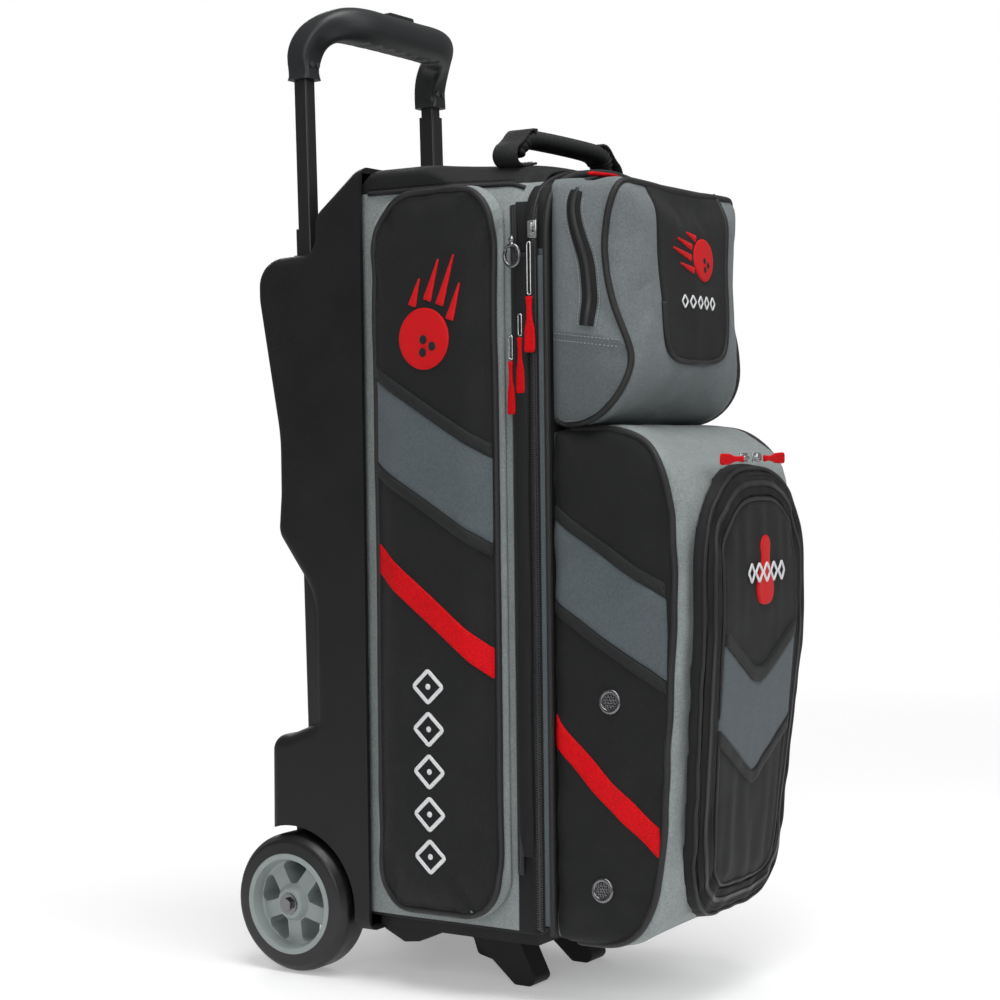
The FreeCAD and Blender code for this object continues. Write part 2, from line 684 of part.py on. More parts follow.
flap_zip_front = shoe_front - 5
tab_middle = flap_zip_front - 4.4
for side, sign in sides.items():
    slider = slab(f"flap_slider_{side}", (sign * 12 - 7, flap_zip_front - 5, 463), (14, 5, 8), 1)
    sub_part(slider, f"flap_slider_{side}")
    strip = slab(f"flap_strip_{side}", (22 if sign > 0 else -62, tab_middle - 1.6, 461), (40, 3.2, 10),
                 1.2)
    tab = with_pivot(f"flap_pull_{side}", strip, 1.9, (sign * 22, tab_middle, 461), 10, "z")
    sub_part(tab, f"flap_pull_{side}")

upper_base = size("upper_top") + 0.3
upper_slider = slab("upper_slider", (-58, -139, upper_base), (14, 8, 4), 1)
sub_part(upper_slider, "upper_slider")
upper_strip = slab("upper_strip", (-100, -141, upper_base), (38.5, 11, 3.2), 1.2)
upper_tab = with_pivot("upper_pull", upper_strip, 1.9, (-61.5, -141, upper_base + 1.9), 11, "y")
sub_part(upper_tab, "upper_pull")

# ---------------------------------------------------------------- check and export
doc.recompute()
os.makedirs("parts", exist_ok=True)
for feature in doc.Objects:
    if "Invalid" in feature.State or "Error" in feature.State:
        raise RuntimeError(f"{feature.Label} is in a bad state: {feature.State}")
for feature in parts:
    shape = feature.Shape
    if shape.isNull() or not shape.isValid():
        raise RuntimeError(f"{feature.Label} has no valid shape")
    shape.exportStep(f"parts/{feature.Label}.step")
print(len(parts), "sub-parts written")
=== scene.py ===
import json
import math

import bmesh
import bpy
import numpy as np
from mathutils import Matrix, Vector
from mathutils.bvhtree import BVHTree
from mathutils.geometry import delaunay_2d_cdt

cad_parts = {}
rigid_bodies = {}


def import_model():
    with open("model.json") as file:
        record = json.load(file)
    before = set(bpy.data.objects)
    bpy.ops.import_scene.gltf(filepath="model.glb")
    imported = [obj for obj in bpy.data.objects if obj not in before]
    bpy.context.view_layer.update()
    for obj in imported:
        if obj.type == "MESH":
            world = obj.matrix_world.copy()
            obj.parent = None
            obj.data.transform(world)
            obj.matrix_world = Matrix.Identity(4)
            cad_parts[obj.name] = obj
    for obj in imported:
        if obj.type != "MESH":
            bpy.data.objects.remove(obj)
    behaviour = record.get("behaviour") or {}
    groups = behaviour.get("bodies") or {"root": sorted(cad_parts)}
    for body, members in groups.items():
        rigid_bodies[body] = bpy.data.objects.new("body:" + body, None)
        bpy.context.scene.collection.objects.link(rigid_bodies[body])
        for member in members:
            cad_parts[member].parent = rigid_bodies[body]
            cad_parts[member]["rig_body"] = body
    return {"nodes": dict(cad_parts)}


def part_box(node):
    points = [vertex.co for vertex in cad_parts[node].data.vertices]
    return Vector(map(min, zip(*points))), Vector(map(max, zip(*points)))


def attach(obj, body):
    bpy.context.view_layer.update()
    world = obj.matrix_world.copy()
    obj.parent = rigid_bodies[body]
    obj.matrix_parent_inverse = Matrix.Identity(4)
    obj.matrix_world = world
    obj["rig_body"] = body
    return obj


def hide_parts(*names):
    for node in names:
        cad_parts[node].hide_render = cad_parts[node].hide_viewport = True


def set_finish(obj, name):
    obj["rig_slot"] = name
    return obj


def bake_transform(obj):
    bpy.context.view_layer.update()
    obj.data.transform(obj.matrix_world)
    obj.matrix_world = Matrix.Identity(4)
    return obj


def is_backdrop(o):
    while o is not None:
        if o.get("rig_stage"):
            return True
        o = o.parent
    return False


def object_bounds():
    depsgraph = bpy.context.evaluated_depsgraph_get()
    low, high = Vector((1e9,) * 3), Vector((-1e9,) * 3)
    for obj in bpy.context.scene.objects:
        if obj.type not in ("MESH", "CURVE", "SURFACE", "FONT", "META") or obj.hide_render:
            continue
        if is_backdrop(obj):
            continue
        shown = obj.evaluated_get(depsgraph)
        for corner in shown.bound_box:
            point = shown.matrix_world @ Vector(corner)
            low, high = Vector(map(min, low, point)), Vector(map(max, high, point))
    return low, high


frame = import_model()
cad_low, cad_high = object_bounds()
scene = bpy.context.scene
MM = 0.001
TAU = 2 * math.pi
LEFT, RIGHT, FRONT, BACK, UP = ((-1.0, 0.0, 0.0), (1.0, 0.0, 0.0), (0.0, -1.0, 0.0), (0.0, 1.0, 0.0),
                                (0.0, 0.0, 1.0))


# ------------------------------------------------------------------ places read from the frame
def box_mm(node):
    """Lowest and highest corner of a CAD node in millimetres."""
    low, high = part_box(node)
    return np.array(low) / MM, np.array(high) / MM


body_low, body_high = box_mm("main_compartment")
pocket_low, pocket_high = box_mm("side_pocket_left")
door_low, door_high = box_mm("door_panel")
shoe_back = box_mm("shoe_compartment")[1][1]
upper_low, upper_high = box_mm("accessory_pocket")
upper_back = upper_high[1]
carry_low, carry_high = box_mm("carry_handle")
body_x = body_high[0]
seam_y = body_low[1]


# ------------------------------------------------------------------ shader graphs
def linear(red, green, blue):
    """Linear colour from 0-255 display values."""
    def channel(value):
        value /= 255
        return value / 12.92 if value <= 0.04045 else ((value + 0.055) / 1.055) ** 2.4
    return channel(red), channel(green), channel(blue)


class Graph:
    """Node graph of one material."""

    def __init__(self, name, color, roughness, **sockets):
        self.material = bpy.data.materials.new(name)
        self.material.use_nodes = True
        self.nodes = self.material.node_tree.nodes
        self.links = self.material.node_tree.links
        self.shader = self.nodes["Principled BSDF"]
        self.color = color
        self.shader.inputs["Base Color"].default_value = (*color, 1)
        self.shader.inputs["Roughness"].default_value = roughness
        for socket, value in sockets.items():
            self.shader.inputs[socket.replace("_", " ")].default_value = value
        self.place = self.nodes.new("ShaderNodeTexCoord")

    def feed(self, socket, value):
        if isinstance(value, bpy.types.NodeSocket):
            self.links.new(value, socket)
        elif value is not None:
            socket.default_value = value

    def math(self, operation, first, second=None, third=None):
        node = self.nodes.new("ShaderNodeMath")
        node.operation = operation
        for socket, value in zip(node.inputs, (first, second, third)):
            self.feed(socket, value)
        return node.outputs[0]

    def noise(self, scale, detail=2.0, roughness=0.5, stretch=None):
        """Noise in millimetre-sized cells; stretch scales the axes first."""
        node = self.nodes.new("ShaderNodeTexNoise")
        node.inputs["Scale"].default_value = 1 / (scale * MM)
        node.inputs["Detail"].default_value = detail
        node.inputs["Roughness"].default_value = roughness
        self.links.new(self.stretched(stretch), node.inputs["Vector"])
        return node.outputs["Fac"]

    def stretched(self, stretch):
        if stretch is None:
            return self.place.outputs["Object"]
        node = self.nodes.new("ShaderNodeMapping")
        node.inputs["Scale"].default_value = stretch
        self.links.new(self.place.outputs["Object"], node.inputs["Vector"])
        return node.outputs[0]

    def cells(self, scale, feature="F1"):
        node = self.nodes.new("ShaderNodeTexVoronoi")
        node.feature = feature
        node.inputs["Scale"].default_value = 1 / (scale * MM)
        self.links.new(self.place.outputs["Object"], node.inputs["Vector"])
        return node.outputs["Distance"]

    def split(self, vector):
        node = self.nodes.new("ShaderNodeSeparateXYZ")
        self.links.new(vector, node.inputs[0])
        return node.outputs

    def between(self, factor, first, second):
        """Number between two others by a factor."""
        node = self.nodes.new("ShaderNodeMix")
        for socket, value in zip((node.inputs[0], node.inputs[2], node.inputs[3]),
                                 (factor, first, second)):
            self.feed(socket, value)
        return node.outputs[0]

    def remap(self, value, low, high, to_low=0.0, to_high=1.0):
        node = self.nodes.new("ShaderNodeMapRange")
        for index, item in enumerate((value, low, high, to_low, to_high)):
            self.feed(node.inputs[index], item)
        return node.outputs[0]

    def bump(self, height, depth_mm, strength=1.0):
        """Add a bump of a given depth on top of those before it."""
        node = self.nodes.new("ShaderNodeBump")
        node.inputs["Distance"].default_value = depth_mm * MM
        node.inputs["Strength"].default_value = strength
        self.links.new(height, node.inputs["Height"])
        before = self.shader.inputs["Normal"]
        if before.is_linked:
            self.links.new(before.links[0].from_socket, node.inputs["Normal"])
        self.links.new(node.outputs[0], before)

    def vary(self, factor, dark=0.8, light=1.2, other=None):
        """Base colour that runs from a darker to a lighter tone by a factor."""
        node = self.nodes.new("ShaderNodeMix")
        node.data_type = "RGBA"
        self.links.new(factor, node.inputs[0])
        node.inputs[6].default_value = (*[dark * c for c in self.color], 1)
        node.inputs[7].default_value = (*(other or [light * c for c in self.color]), 1)
        self.links.new(node.outputs[2], self.shader.inputs["Base Color"])

    def rough(self, factor, low, high):
        self.links.new(self.remap(factor, 0.3, 0.7, low, high), self.shader.inputs["Roughness"])

    def surface_axes(self):
        """Two coordinates that run along the surface, whichever way it faces."""
        x, y, z = self.split(self.place.outputs["Object"])
        nx, ny, nz = (self.math("ABSOLUTE", out)
                      for out in self.split(self.place.outputs["Normal"]))
        sideways = self.math("GREATER_THAN", nx, self.math("MAXIMUM", ny, nz))
        upward = self.math("GREATER_THAN", nz, self.math("MAXIMUM", nx, ny))
        return self.between(sideways, x, y), self.between(upward, z, y)

    def weave(self, pitch_mm, depth_mm, twill=0.0, strength=1.0):
        """Over-and-under weave along the surface; returns its height."""
        along, up = self.surface_axes()
        turn = math.pi / (pitch_mm * MM)
        slanted = self.math("MULTIPLY_ADD", up, twill, along)
        first = self.math("SINE", self.math("MULTIPLY", slanted, turn))
        second = self.math("SINE", self.math("MULTIPLY", up, turn))
        over = self.math("GREATER_THAN", self.math("MULTIPLY", first, second), 0.0)
        height = self.between(over, self.math("ABSOLUTE", first), self.math("ABSOLUTE", second))
        self.bump(height, depth_mm, strength)
        return height


def fabric(name, color, pitch=1.1, depth=0.16, roughness=0.75, sheen=0.25, crease=0.6, twill=0.0,
           specular=0.3):
    """Woven cloth: weave, uneven yarns, soft creases and a little fuzz."""
    graph = Graph(name, color, roughness, Sheen_Weight=sheen, Sheen_Roughness=0.45,
                  Specular_IOR_Level=specular)
    cloud = graph.noise(45, 4, 0.6)
    graph.bump(graph.noise(26, 3, 0.5), crease, 0.5)
    height = graph.weave(pitch, depth, twill)
    yarn = graph.noise(1.9, 2, 0.7)
    mixed = graph.math("MULTIPLY_ADD", height, 0.3, graph.math("MULTIPLY", cloud, 0.4))
    factor = graph.math("MULTIPLY_ADD", yarn, 0.9, mixed)
    graph.vary(graph.remap(factor, 0.55, 1.15), 0.72, 1.3)
    graph.rough(cloud, roughness - 0.08, min(roughness + 0.1, 1))
    return graph.material


def grain_plastic(name, color, roughness, cell=1.4, depth=0.1, specular=0.35):
    """Moulded plastic with a leathery grain and faint wear."""
    graph = Graph(name, color, roughness, Specular_IOR_Level=specular)
    cloud = graph.noise(60, 4, 0.6)
    graph.bump(graph.cells(cell), depth, 0.8)
    graph.bump(graph.noise(0.35, 2), depth * 0.5, 0.6)
    graph.vary(cloud, 0.8, 1.35)
    graph.rough(cloud, roughness - 0.07, roughness + 0.09)
    return graph.material


def metal(name, color, roughness, brush=None):
    """Plated metal with fine scuffs."""
    graph = Graph(name, color, roughness, Metallic=1.0)
    scuff = graph.noise(2.2, 4, 0.65, brush)
    graph.vary(scuff, 0.8, 1.1)
    graph.rough(scuff, roughness * 0.7, roughness * 1.35)
    graph.bump(graph.noise(0.8, 2), 0.02, 0.4)
    return graph.material


def thread(name, color, roughness=0.5):
    """Satin embroidery: dense parallel threads."""
    graph = Graph(name, color, roughness, Sheen_Weight=0.05, Specular_IOR_Level=0.2)
    x, y, z = graph.split(graph.place.outputs["Object"])
    wobble = graph.math("MULTIPLY_ADD", graph.noise(6, 2), 0.0011, z)
    ridges = graph.math("SINE", graph.math("MULTIPLY", wobble, TAU / (0.75 * MM)))
    graph.bump(ridges, 0.1, 0.9)
    graph.vary(graph.remap(ridges, -1, 1), 0.72, 1.12)
    return graph.material


black_cloth = fabric("black_weave", linear(21, 22, 23), 1.15, 0.2, 0.66, 0.05)
side_cloth = fabric("black_side_weave", linear(19, 20, 21), 1.1, 0.2, 0.66, 0.05)
light_cloth = fabric("light_grey_weave", linear(140, 147, 147), 0.9, 0.12, 0.8, 0.1, 4.5)
mid_cloth = fabric("mid_grey_weave", linear(86, 95, 99), 0.9, 0.14, 0.75, 0.1, 0.9)
dark_cloth = fabric("dark_grey_weave", linear(60, 65, 68), 0.9, 0.14, 0.75, 0.1, 0.5)
lining_cloth = fabric("lining_weave", linear(74, 78, 80), 0.6, 0.08, 0.85, 0.2, 0.4)
black_web = fabric("black_webbing", linear(30, 31, 32), 1.5, 0.28, 0.6, 0.05, 0.15, 0.5)
red_web = fabric("red_webbing_weave", linear(214, 8, 20), 1.4, 0.22, 0.65, 0.0, 0.15, 0.5, 0.15)
piping_cloth = fabric("piping_weave", linear(20, 20, 22), 0.7, 0.1, 0.5, 0.05, 0.1, specular=0.5)
tape_cloth = fabric("zip_tape_weave", linear(20, 20, 21), 0.7, 0.1, 0.7, 0.03, 0.1)
red_thread = thread("red_thread", linear(222, 6, 18))
white_thread = thread("white_thread", linear(236, 238, 240))
grey_thread = thread("grey_thread", linear(168, 174, 174))
black_thread = thread("black_thread", linear(34, 34, 36))
coil_nylon = grain_plastic("zip_coil", linear(48, 48, 50), 0.35, 0.5, 0.02, 0.5)
shell_plastic = grain_plastic("shell_grain", linear(24, 24, 26), 0.5, 1.1, 0.14, 0.3)
base_plastic = grain_plastic("base_grain", linear(24, 24, 26), 0.55, 1.3, 0.08, 0.25)
grip_plastic = grain_plastic("grip_satin", linear(36, 38, 39), 0.42, 0.7, 0.04, 0.45)
rubber = grain_plastic("handle_rubber", linear(26, 27, 28), 0.55, 0.8, 0.06, 0.35)
bright_metal = metal("nickel", (0.66, 0.67, 0.68), 0.2)
dark_metal = metal("smoked_nickel", (0.2, 0.2, 0.21), 0.25)
steel = metal("turned_steel", (0.5, 0.51, 0.53), 0.3, (1, 12, 12))


def coating(name, color, roughness, cloud, tones, shine, grain, **sockets):
    """Hard surface whose tone and shine follow one noise, with a fine grain (cell, detail, depth)."""
    graph = Graph(name, color, roughness, **sockets)
    tone = graph.noise(*cloud)
    graph.vary(tone, *tones)
    graph.rough(tone, *shine)
    graph.bump(graph.noise(*grain[:2]), grain[2], 0.5)
    return graph.material


tube_coating = coating("tube_coating", linear(25, 25, 27), 0.36, (3, 4, 0.6, (1, 1, 0.06)), (0.85, 1.3),
                       (0.3, 0.44), (0.4, 2, 0.02), Specular_IOR_Level=0.5, Coat_Weight=0.15,
                       Coat_Roughness=0.3)
tyre_rubber = coating("tyre_rubber", linear(20, 20, 21), 0.4, (9, 5, 0.7), (0.85, 1.5), (0.3, 0.5),
                      (1.1, 3, 0.05), Specular_IOR_Level=0.5)
hub_plastic = coating("hub_grey_plastic", linear(146, 155, 154), 0.42, (14, 4, 0.6), (0.88, 1.08),
                      (0.34, 0.5), (0.6, 2, 0.03), Specular_IOR_Level=0.4)


# ------------------------------------------------------------------ meshes in millimetres
def make(name, points, faces, material, body=None, slot=None, smooth=True):
    """Mesh object from points in millimetres."""
    mesh = bpy.data.meshes.new(name)
    mesh.from_pydata([tuple(p) for p in np.asarray(points, float) * MM], [], faces)
    mesh.materials.append(material)
    mesh.validate()
    if smooth:
        mesh.shade_smooth()
    piece = bpy.data.objects.new(name, mesh)
    scene.collection.objects.link(piece)
    if body:
        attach(piece, body)
    if slot:
        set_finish(piece, slot)
    return piece


class Heap:
    """Gathers small shapes into one mesh."""

    def __init__(self):
        self.points = []
        self.faces = []
        self.count = 0

    def add(self, points, faces):
        self.points.append(np.asarray(points, float))
        self.faces.extend([tuple(i + self.count for i in face) for face in faces])
        self.count += len(points)

    def make(self, name, material, body, slot=None):
        return make(name, np.concatenate(self.points), self.faces, material, body, slot)


def unit(vectors):
    vectors = np.asarray(vectors, float)
    length = np.linalg.norm(vectors, axis=-1, keepdims=True)
    return vectors / np.maximum(length, 1e-9)


def rounded(corners, step=2.5):
    """Closed outline of straight lines with rounded corners (u, v, radius), evenly sampled."""
    raw = []
    count = len(corners)
    for index, (u, v, radius) in enumerate(corners):
        here = np.array([u, v], float)
        back = np.array(corners[index - 1][:2], float) - here
        ahead = np.array(corners[(index + 1) % count][:2], float) - here
        if radius <= 0:
            raw.append(here)
            continue
        back, ahead = unit(back), unit(ahead)
        half = math.acos(float(np.clip(back @ ahead, -1, 1))) / 2
        reach = radius / math.tan(half)
        centre = here + unit(back + ahead) * radius / math.sin(half)
        start, end = here + back * reach - centre, here + ahead * reach - centre
        first = math.atan2(start[1], start[0])
        sweep = (math.atan2(end[1], end[0]) - first + math.pi) % TAU - math.pi
        for part in np.linspace(0, 1, 12):
            angle = first + sweep * part
            raw.append(centre + radius * np.array([math.cos(angle), math.sin(angle)]))
    return evenly(np.array(raw), step, closed=True)


def evenly(points, step, closed=False):
    """Points at an even spacing along a line."""
    points = np.asarray(points, float)
    if closed:
        points = np.vstack([points, points[:1]])
    lengths = np.linalg.norm(np.diff(points, axis=0), axis=1)
    keep = np.concatenate([[True], lengths > 1e-6])
    points, lengths = points[keep], lengths[lengths > 1e-6]
    at = np.concatenate([[0], np.cumsum(lengths)])
    count = max(int(round(at[-1] / step)), 2)
    wanted = np.linspace(0, at[-1], count + 1)
    spread = np.stack([np.interp(wanted, at, points[:, axis]) for axis in range(points.shape[1])], 1)
    return spread[:-1] if closed else spread


def curve(points, step=3.0, closed=False, passes=3):
    """Smooth line through corner points, by repeated corner cutting."""
    points = np.asarray(points, float)
    for _ in range(passes):
        following = np.roll(points, -1, axis=0) if closed else points[1:]
        current = points if closed else points[:-1]
        cut = np.stack([0.75 * current + 0.25 * following, 0.25 * current + 0.75 * following], 1)
        cut = cut.reshape(-1, points.shape[1])
        points = cut if closed else np.vstack([points[:1], cut, points[-1:]])
    return evenly(points, step, closed)


def at_depth(line, y):
    """Points (x, y, z) from a line in (x, z)."""
    return np.insert(line, 1, y, axis=1)


def square_to(line):
    """Unit vectors square to a line in (x, z), as (x, y, z)."""
    return unit(at_depth(np.gradient(line, axis=0)[:, ::-1] * (-1, 1), 0.0))


def steady(direction, count):
    """One direction repeated for every point of a path."""
    return np.tile(np.asarray(direction, float), (count, 1))


def both_sides(values):
    """Left half of a line carried on to its mirror image on the right."""
    return np.vstack([values, (values * [-1, 1, 1])[::-1][1:]])


def inward(outline):
    """Unit vectors that point into a closed outline."""
    tangent = unit(np.roll(outline, -1, axis=0) - np.roll(outline, 1, axis=0))
    normal = np.stack([-tangent[:, 1], tangent[:, 0]], 1)
    u, v = outline[:, 0], outline[:, 1]
    area = np.sum(u * np.roll(v, -1) - v * np.roll(u, -1))
    return normal if area > 0 else -normal


def inset(outline, distance):
    return outline + inward(outline) * distance


def inside(points, outline):
    """True for points inside a closed outline."""
    points = np.asarray(points, float)
    result = np.zeros(len(points), bool)
    following = np.roll(outline, -1, axis=0)
    for (u1, v1), (u2, v2) in zip(outline, following):
        crossing = (v1 > points[:, 1]) != (v2 > points[:, 1])
        with np.errstate(divide="ignore", invalid="ignore"):
            at = (u2 - u1) * (points[:, 1] - v1) / (v2 - v1) + u1
        result ^= crossing & (points[:, 0] < at)
    return result


def distance_to(points, line):
    """Distance from each point to the nearest sample of a line."""
    result = np.full(len(points), 1e9)
    for start in range(0, len(line), 200):
        part = line[start:start + 200]
        result = np.minimum(result, np.linalg.norm(points[:, None] - part[None], axis=2).min(1))
    return result


# ------------------------------------------------------------------ finished surfaces to lay details on
VIEWS = {
    # how outline coordinates (u, v) are placed, and which way they are pressed onto a surface
    "left": (lambda u, v: (-260, u, v), Vector((1, 0, 0))),
    "right": (lambda u, v: (260, u, v), Vector((-1, 0, 0))),
    "front": (lambda u, v: (u, -360, v), Vector((0, 1, 0))),
    "top": (lambda u, v: (u, v, 900), Vector((0, 0, -1))),
}


class Skin:
    """Surface of finished pieces, for laying details on."""

    def __init__(self, *pieces):
        points, faces = [], []
        for piece in pieces:
            start = len(points)
            points.extend([v.co / MM for v in piece.data.vertices])
            faces.extend([[i + start for i in polygon.vertices] for polygon in piece.data.polygons])
        self.tree = BVHTree.FromPolygons(points, faces)

    def press(self, outline, view):
        """Places and normals where the outline's points meet the surface."""
        place, direction = VIEWS[view]
        spots, normals = [], []
        for u, v in outline:
            origin = Vector(place(u, v))
            hit, normal, _, _ = self.tree.ray_cast(origin, direction)
            if hit is None:
                last = Vector(spots[-1]) if spots else origin + direction * 140
                guess = Vector(place(u, v))
                for axis in range(3):
                    if abs(direction[axis]) > 0.5:
                        guess[axis] = last[axis]
                hit, normal, _, _ = self.tree.find_nearest(guess)
            spots.append(hit)
            normals.append(normal)
        return np.array(spots), np.array(normals)

    def snap(self, points):
        """Nearest places on the surface and their normals."""
        found = [self.tree.find_nearest(Vector(p))[:2] for p in points]
        return np.array([f[0] for f in found]), np.array([f[1] for f in found])


def smooth_line(values, closed, passes=3):
    for _ in range(passes):
        if closed:
            values = (np.roll(values, 1, 0) + 2 * values + np.roll(values, -1, 0)) / 4
        else:
            middle = (values[:-2] + 2 * values[1:-1] + values[2:]) / 4
            values = np.vstack([values[:1], middle, values[-1:]])
    return values


def patch(name, outline, skin, view, material, body, slot=None, thick=0.9, spacing=4.0, lift=0.0,
          shape=None, depth=1.4):
    """Sewn-on panel that follows a surface, with rounded edges; outline in (u, v)."""
    outline = np.asarray(outline, float)
    edge = 0.9
    inner = inset(outline, edge)
    low, high = outline.min(0), outline.max(0)
    columns = np.arange(low[0], high[0] + spacing, spacing)
    rows = np.arange(low[1], high[1] + spacing, spacing * 0.866)
    grid = np.array([(u + (row % 2) * spacing / 2, v) for row, v in enumerate(rows) for u in columns])
    grid = grid[inside(grid, outline)]
    if len(grid):
        grid = grid[distance_to(grid, outline) > edge + 0.45 * spacing]
    inner = inner[inside(inner, outline) & (distance_to(inner, outline) > edge * 0.7)]
    flat = [Vector(p) for p in np.vstack([outline, inner, grid.reshape(-1, 2)])]
    count = len(outline)
    edges = [(i, (i + 1) % count) for i in range(count)]
    cut = delaunay_2d_cdt(flat, edges, [], 1, 1e-5)
    uv = np.array([tuple(v) for v in cut[0]])
    triangles = [tuple(face) for face in cut[2]]
    away = distance_to(uv, evenly(outline, 0.5, closed=True))
    spots, normals = skin.press(uv, view)
    rise = np.where(away < edge * 0.6, 0.15, thick) + lift
    if shape is not None:
        rise = rise + shape(uv, away)
    top = spots + normals * rise[:, None]
    bottom = spots - normals * depth
    first = triangles[0]
    a, b, c = (top[i] for i in first)
    facing = np.cross(b - a, c - a) @ normals[first[0]]
    if facing < 0:
        triangles = [tuple(reversed(face)) for face in triangles]
    total = len(uv)
    faces = list(triangles) + [tuple(i + total for i in reversed(face)) for face in triangles]
    sides = dict.fromkeys((i, j) for face in triangles for i, j in zip(face, face[1:] + face[:1]))
    faces += [(j, i, i + total, j + total) for i, j in sides if (j, i) not in sides]
    return make(name, np.vstack([top, bottom]), faces, material, body, slot)


def mirrored(piece, name):
    """The same piece on the other side of the bag."""
    mesh = piece.data.copy()
    mesh.transform(Matrix.Diagonal((-1, 1, 1, 1)))
    mesh.flip_normals()
    twin = bpy.data.objects.new(name, mesh)
    scene.collection.objects.link(twin)
    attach(twin, piece["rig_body"])
    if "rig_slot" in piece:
        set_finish(twin, piece["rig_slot"])
    return twin


def frames_along(path, closed=False, hint=None):
    """Direction and two cross axes at each point of a path."""
    ahead = np.roll(path, -1, 0) - np.roll(path, 1, 0)
    if not closed:
        ahead[0], ahead[-1] = path[1] - path[0], path[-1] - path[-2]
    along = unit(ahead)
    if hint is None:
        start = np.array([0.0, 0.0, 1.0]) if abs(along[0][2]) < 0.9 else np.array([1.0, 0.0, 0.0])
        up = [unit(start - along[0] * (start @ along[0]))]
        for direction in along[1:]:
            turned = up[-1] - direction * (up[-1] @ direction)
            up.append(unit(turned))
        up = np.array(up)
    else:
        up = unit(hint - along * np.sum(hint * along, axis=1, keepdims=True))
    return along, up, np.cross(along, up)


def sweep_mesh(path, section, closed=False, hint=None, scale=None):
    """Points and faces of a section (across, up) carried along a path."""
    along, up, across = frames_along(path, closed, hint)
    if closed and hint is None:
        turn = math.atan2(float(np.cross(up[-1], up[0]) @ along[0]), float(up[-1] @ up[0]))
        angles = np.linspace(0, turn, len(path))[:, None]
        up, across = (up * np.cos(angles) - across * np.sin(angles) * -1,
                      np.cross(along, up * np.cos(angles) + across * np.sin(angles)))
    section = np.asarray(section, float)
    sizes = np.ones(len(path)) if scale is None else np.asarray(scale, float)
    points = (path[:, None] + across[:, None] * section[None, :, :1] * sizes[:, None, None]
              + up[:, None] * section[None, :, 1:] * sizes[:, None, None])
    count, around = len(path), len(section)
    faces = []
    for i in range(count if closed else count - 1):
        j = (i + 1) % count
        for k in range(around):
            m = (k + 1) % around
            faces.append((i * around + k, i * around + m, j * around + m, j * around + k))
    if not closed:
        faces.append(tuple(range(around - 1, -1, -1)))
        faces.append(tuple((count - 1) * around + k for k in range(around)))
    return points.reshape(-1, 3), faces


def ring_section(radius, sides=10, flat=1.0):
    angles = np.linspace(0, TAU, sides, endpoint=False)
    return np.stack([radius * np.cos(angles), radius * flat * np.sin(angles)], 1)


def strap_section(width, thick, edge=0.5):
    half, tall = width / 2, thick / 2
    return np.array([(-half, -tall + edge), (-half, tall - edge), (-half + edge, tall),
                     (half - edge, tall), (half, tall - edge), (half, -tall + edge),
                     (half - edge, -tall), (-half + edge, -tall)])


def tube(name, path, radius, material, body, closed=False, slot=None, hint=None, section=None,
         scale=None, sides=10):
    points, faces = sweep_mesh(np.asarray(path, float), ring_section(radius, sides)
                               if section is None else section, closed, hint, scale)
    return make(name, points, faces, material, body, slot)


def piping(name, outline, skin, view, radius=2.3, body="root", closed=True, lift=0.8,
           material=None, slot="black_fabric"):
    """Cord edging along a seam, pressed onto a surface."""
    spots, normals = skin.press(outline, view)
    path = smooth_line(spots, closed, 4) + smooth_line(normals, closed, 6) * lift
    return tube(name, path, radius, material or piping_cloth, body, closed, slot)


def stitches(heap, path, normals, pitch=3.4, length=2.3, radius=0.33, lift=0.3):
    """Row of short stitches along a path."""
    path = np.asarray(path, float)
    lengths = np.linalg.norm(np.diff(path, axis=0), axis=1)
    at = np.concatenate([[0], np.cumsum(lengths)])
    for start in np.arange(0.5, at[-1] - length, pitch):
        ends = []
        for place in (start, start + length / 2, start + length):
            spot = np.array([np.interp(place, at, path[:, k]) for k in range(3)])
            normal = unit(np.array([np.interp(place, at, normals[:, k]) for k in range(3)]))
            ends.append((spot, normal))
        line = np.array([ends[0][0] - ends[0][1] * 0.2, ends[1][0] + ends[1][1] * lift,
                         ends[2][0] - ends[2][1] * 0.2])
        line = np.array([line[0], 0.5 * (line[0] + line[1]) + ends[0][1] * 0.15, line[1],
                         0.5 * (line[1] + line[2]) + ends[2][1] * 0.15, line[2]])
        hint = np.array([ends[0][1]] * 5)
        heap.add(*sweep_mesh(line, ring_section(radius, 5), hint=hint))


def stitch_line(heap, line, skin, view, lift=0.3, **kind):
    spots, normals = skin.press(line, view)
    stitches(heap, smooth_line(spots, False, 2) + normals * 0.1, normals, lift=lift, **kind)


# ------------------------------------------------------------------ soft pieces from the frame's solids
def solid_copy(name, node, voxel=5.0):
    """New object with an even quad mesh of a CAD node."""
    mesh = frame["nodes"][node].data.copy()
    mesh.materials.clear()
    work = bmesh.new()
    work.from_mesh(mesh)
    bmesh.ops.remove_doubles(work, verts=work.verts, dist=1e-5)
    work.to_mesh(mesh)
    work.free()
    piece = bpy.data.objects.new(name, mesh)
    scene.collection.objects.link(piece)
    remesh = piece.modifiers.new("even", "REMESH")
    remesh.mode = "VOXEL"
    remesh.voxel_size = voxel * MM
    bake(piece)
    return piece


def bake(piece):
    """Apply all modifiers."""
    graph = bpy.context.evaluated_depsgraph_get()
    mesh = bpy.data.meshes.new_from_object(piece.evaluated_get(graph))
    piece.modifiers.clear()
    piece.data = mesh


def get_points(piece):
    points = np.zeros(len(piece.data.vertices) * 3)
    piece.data.vertices.foreach_get("co", points)
    return points.reshape(-1, 3) / MM


def get_normals(piece):
    normals = np.zeros(len(piece.data.vertices) * 3)
    piece.data.vertices.foreach_get("normal", normals)
    return normals.reshape(-1, 3)


def set_points(piece, points):
    piece.data.vertices.foreach_set("co", (np.asarray(points) * MM).ravel())
    piece.data.update()


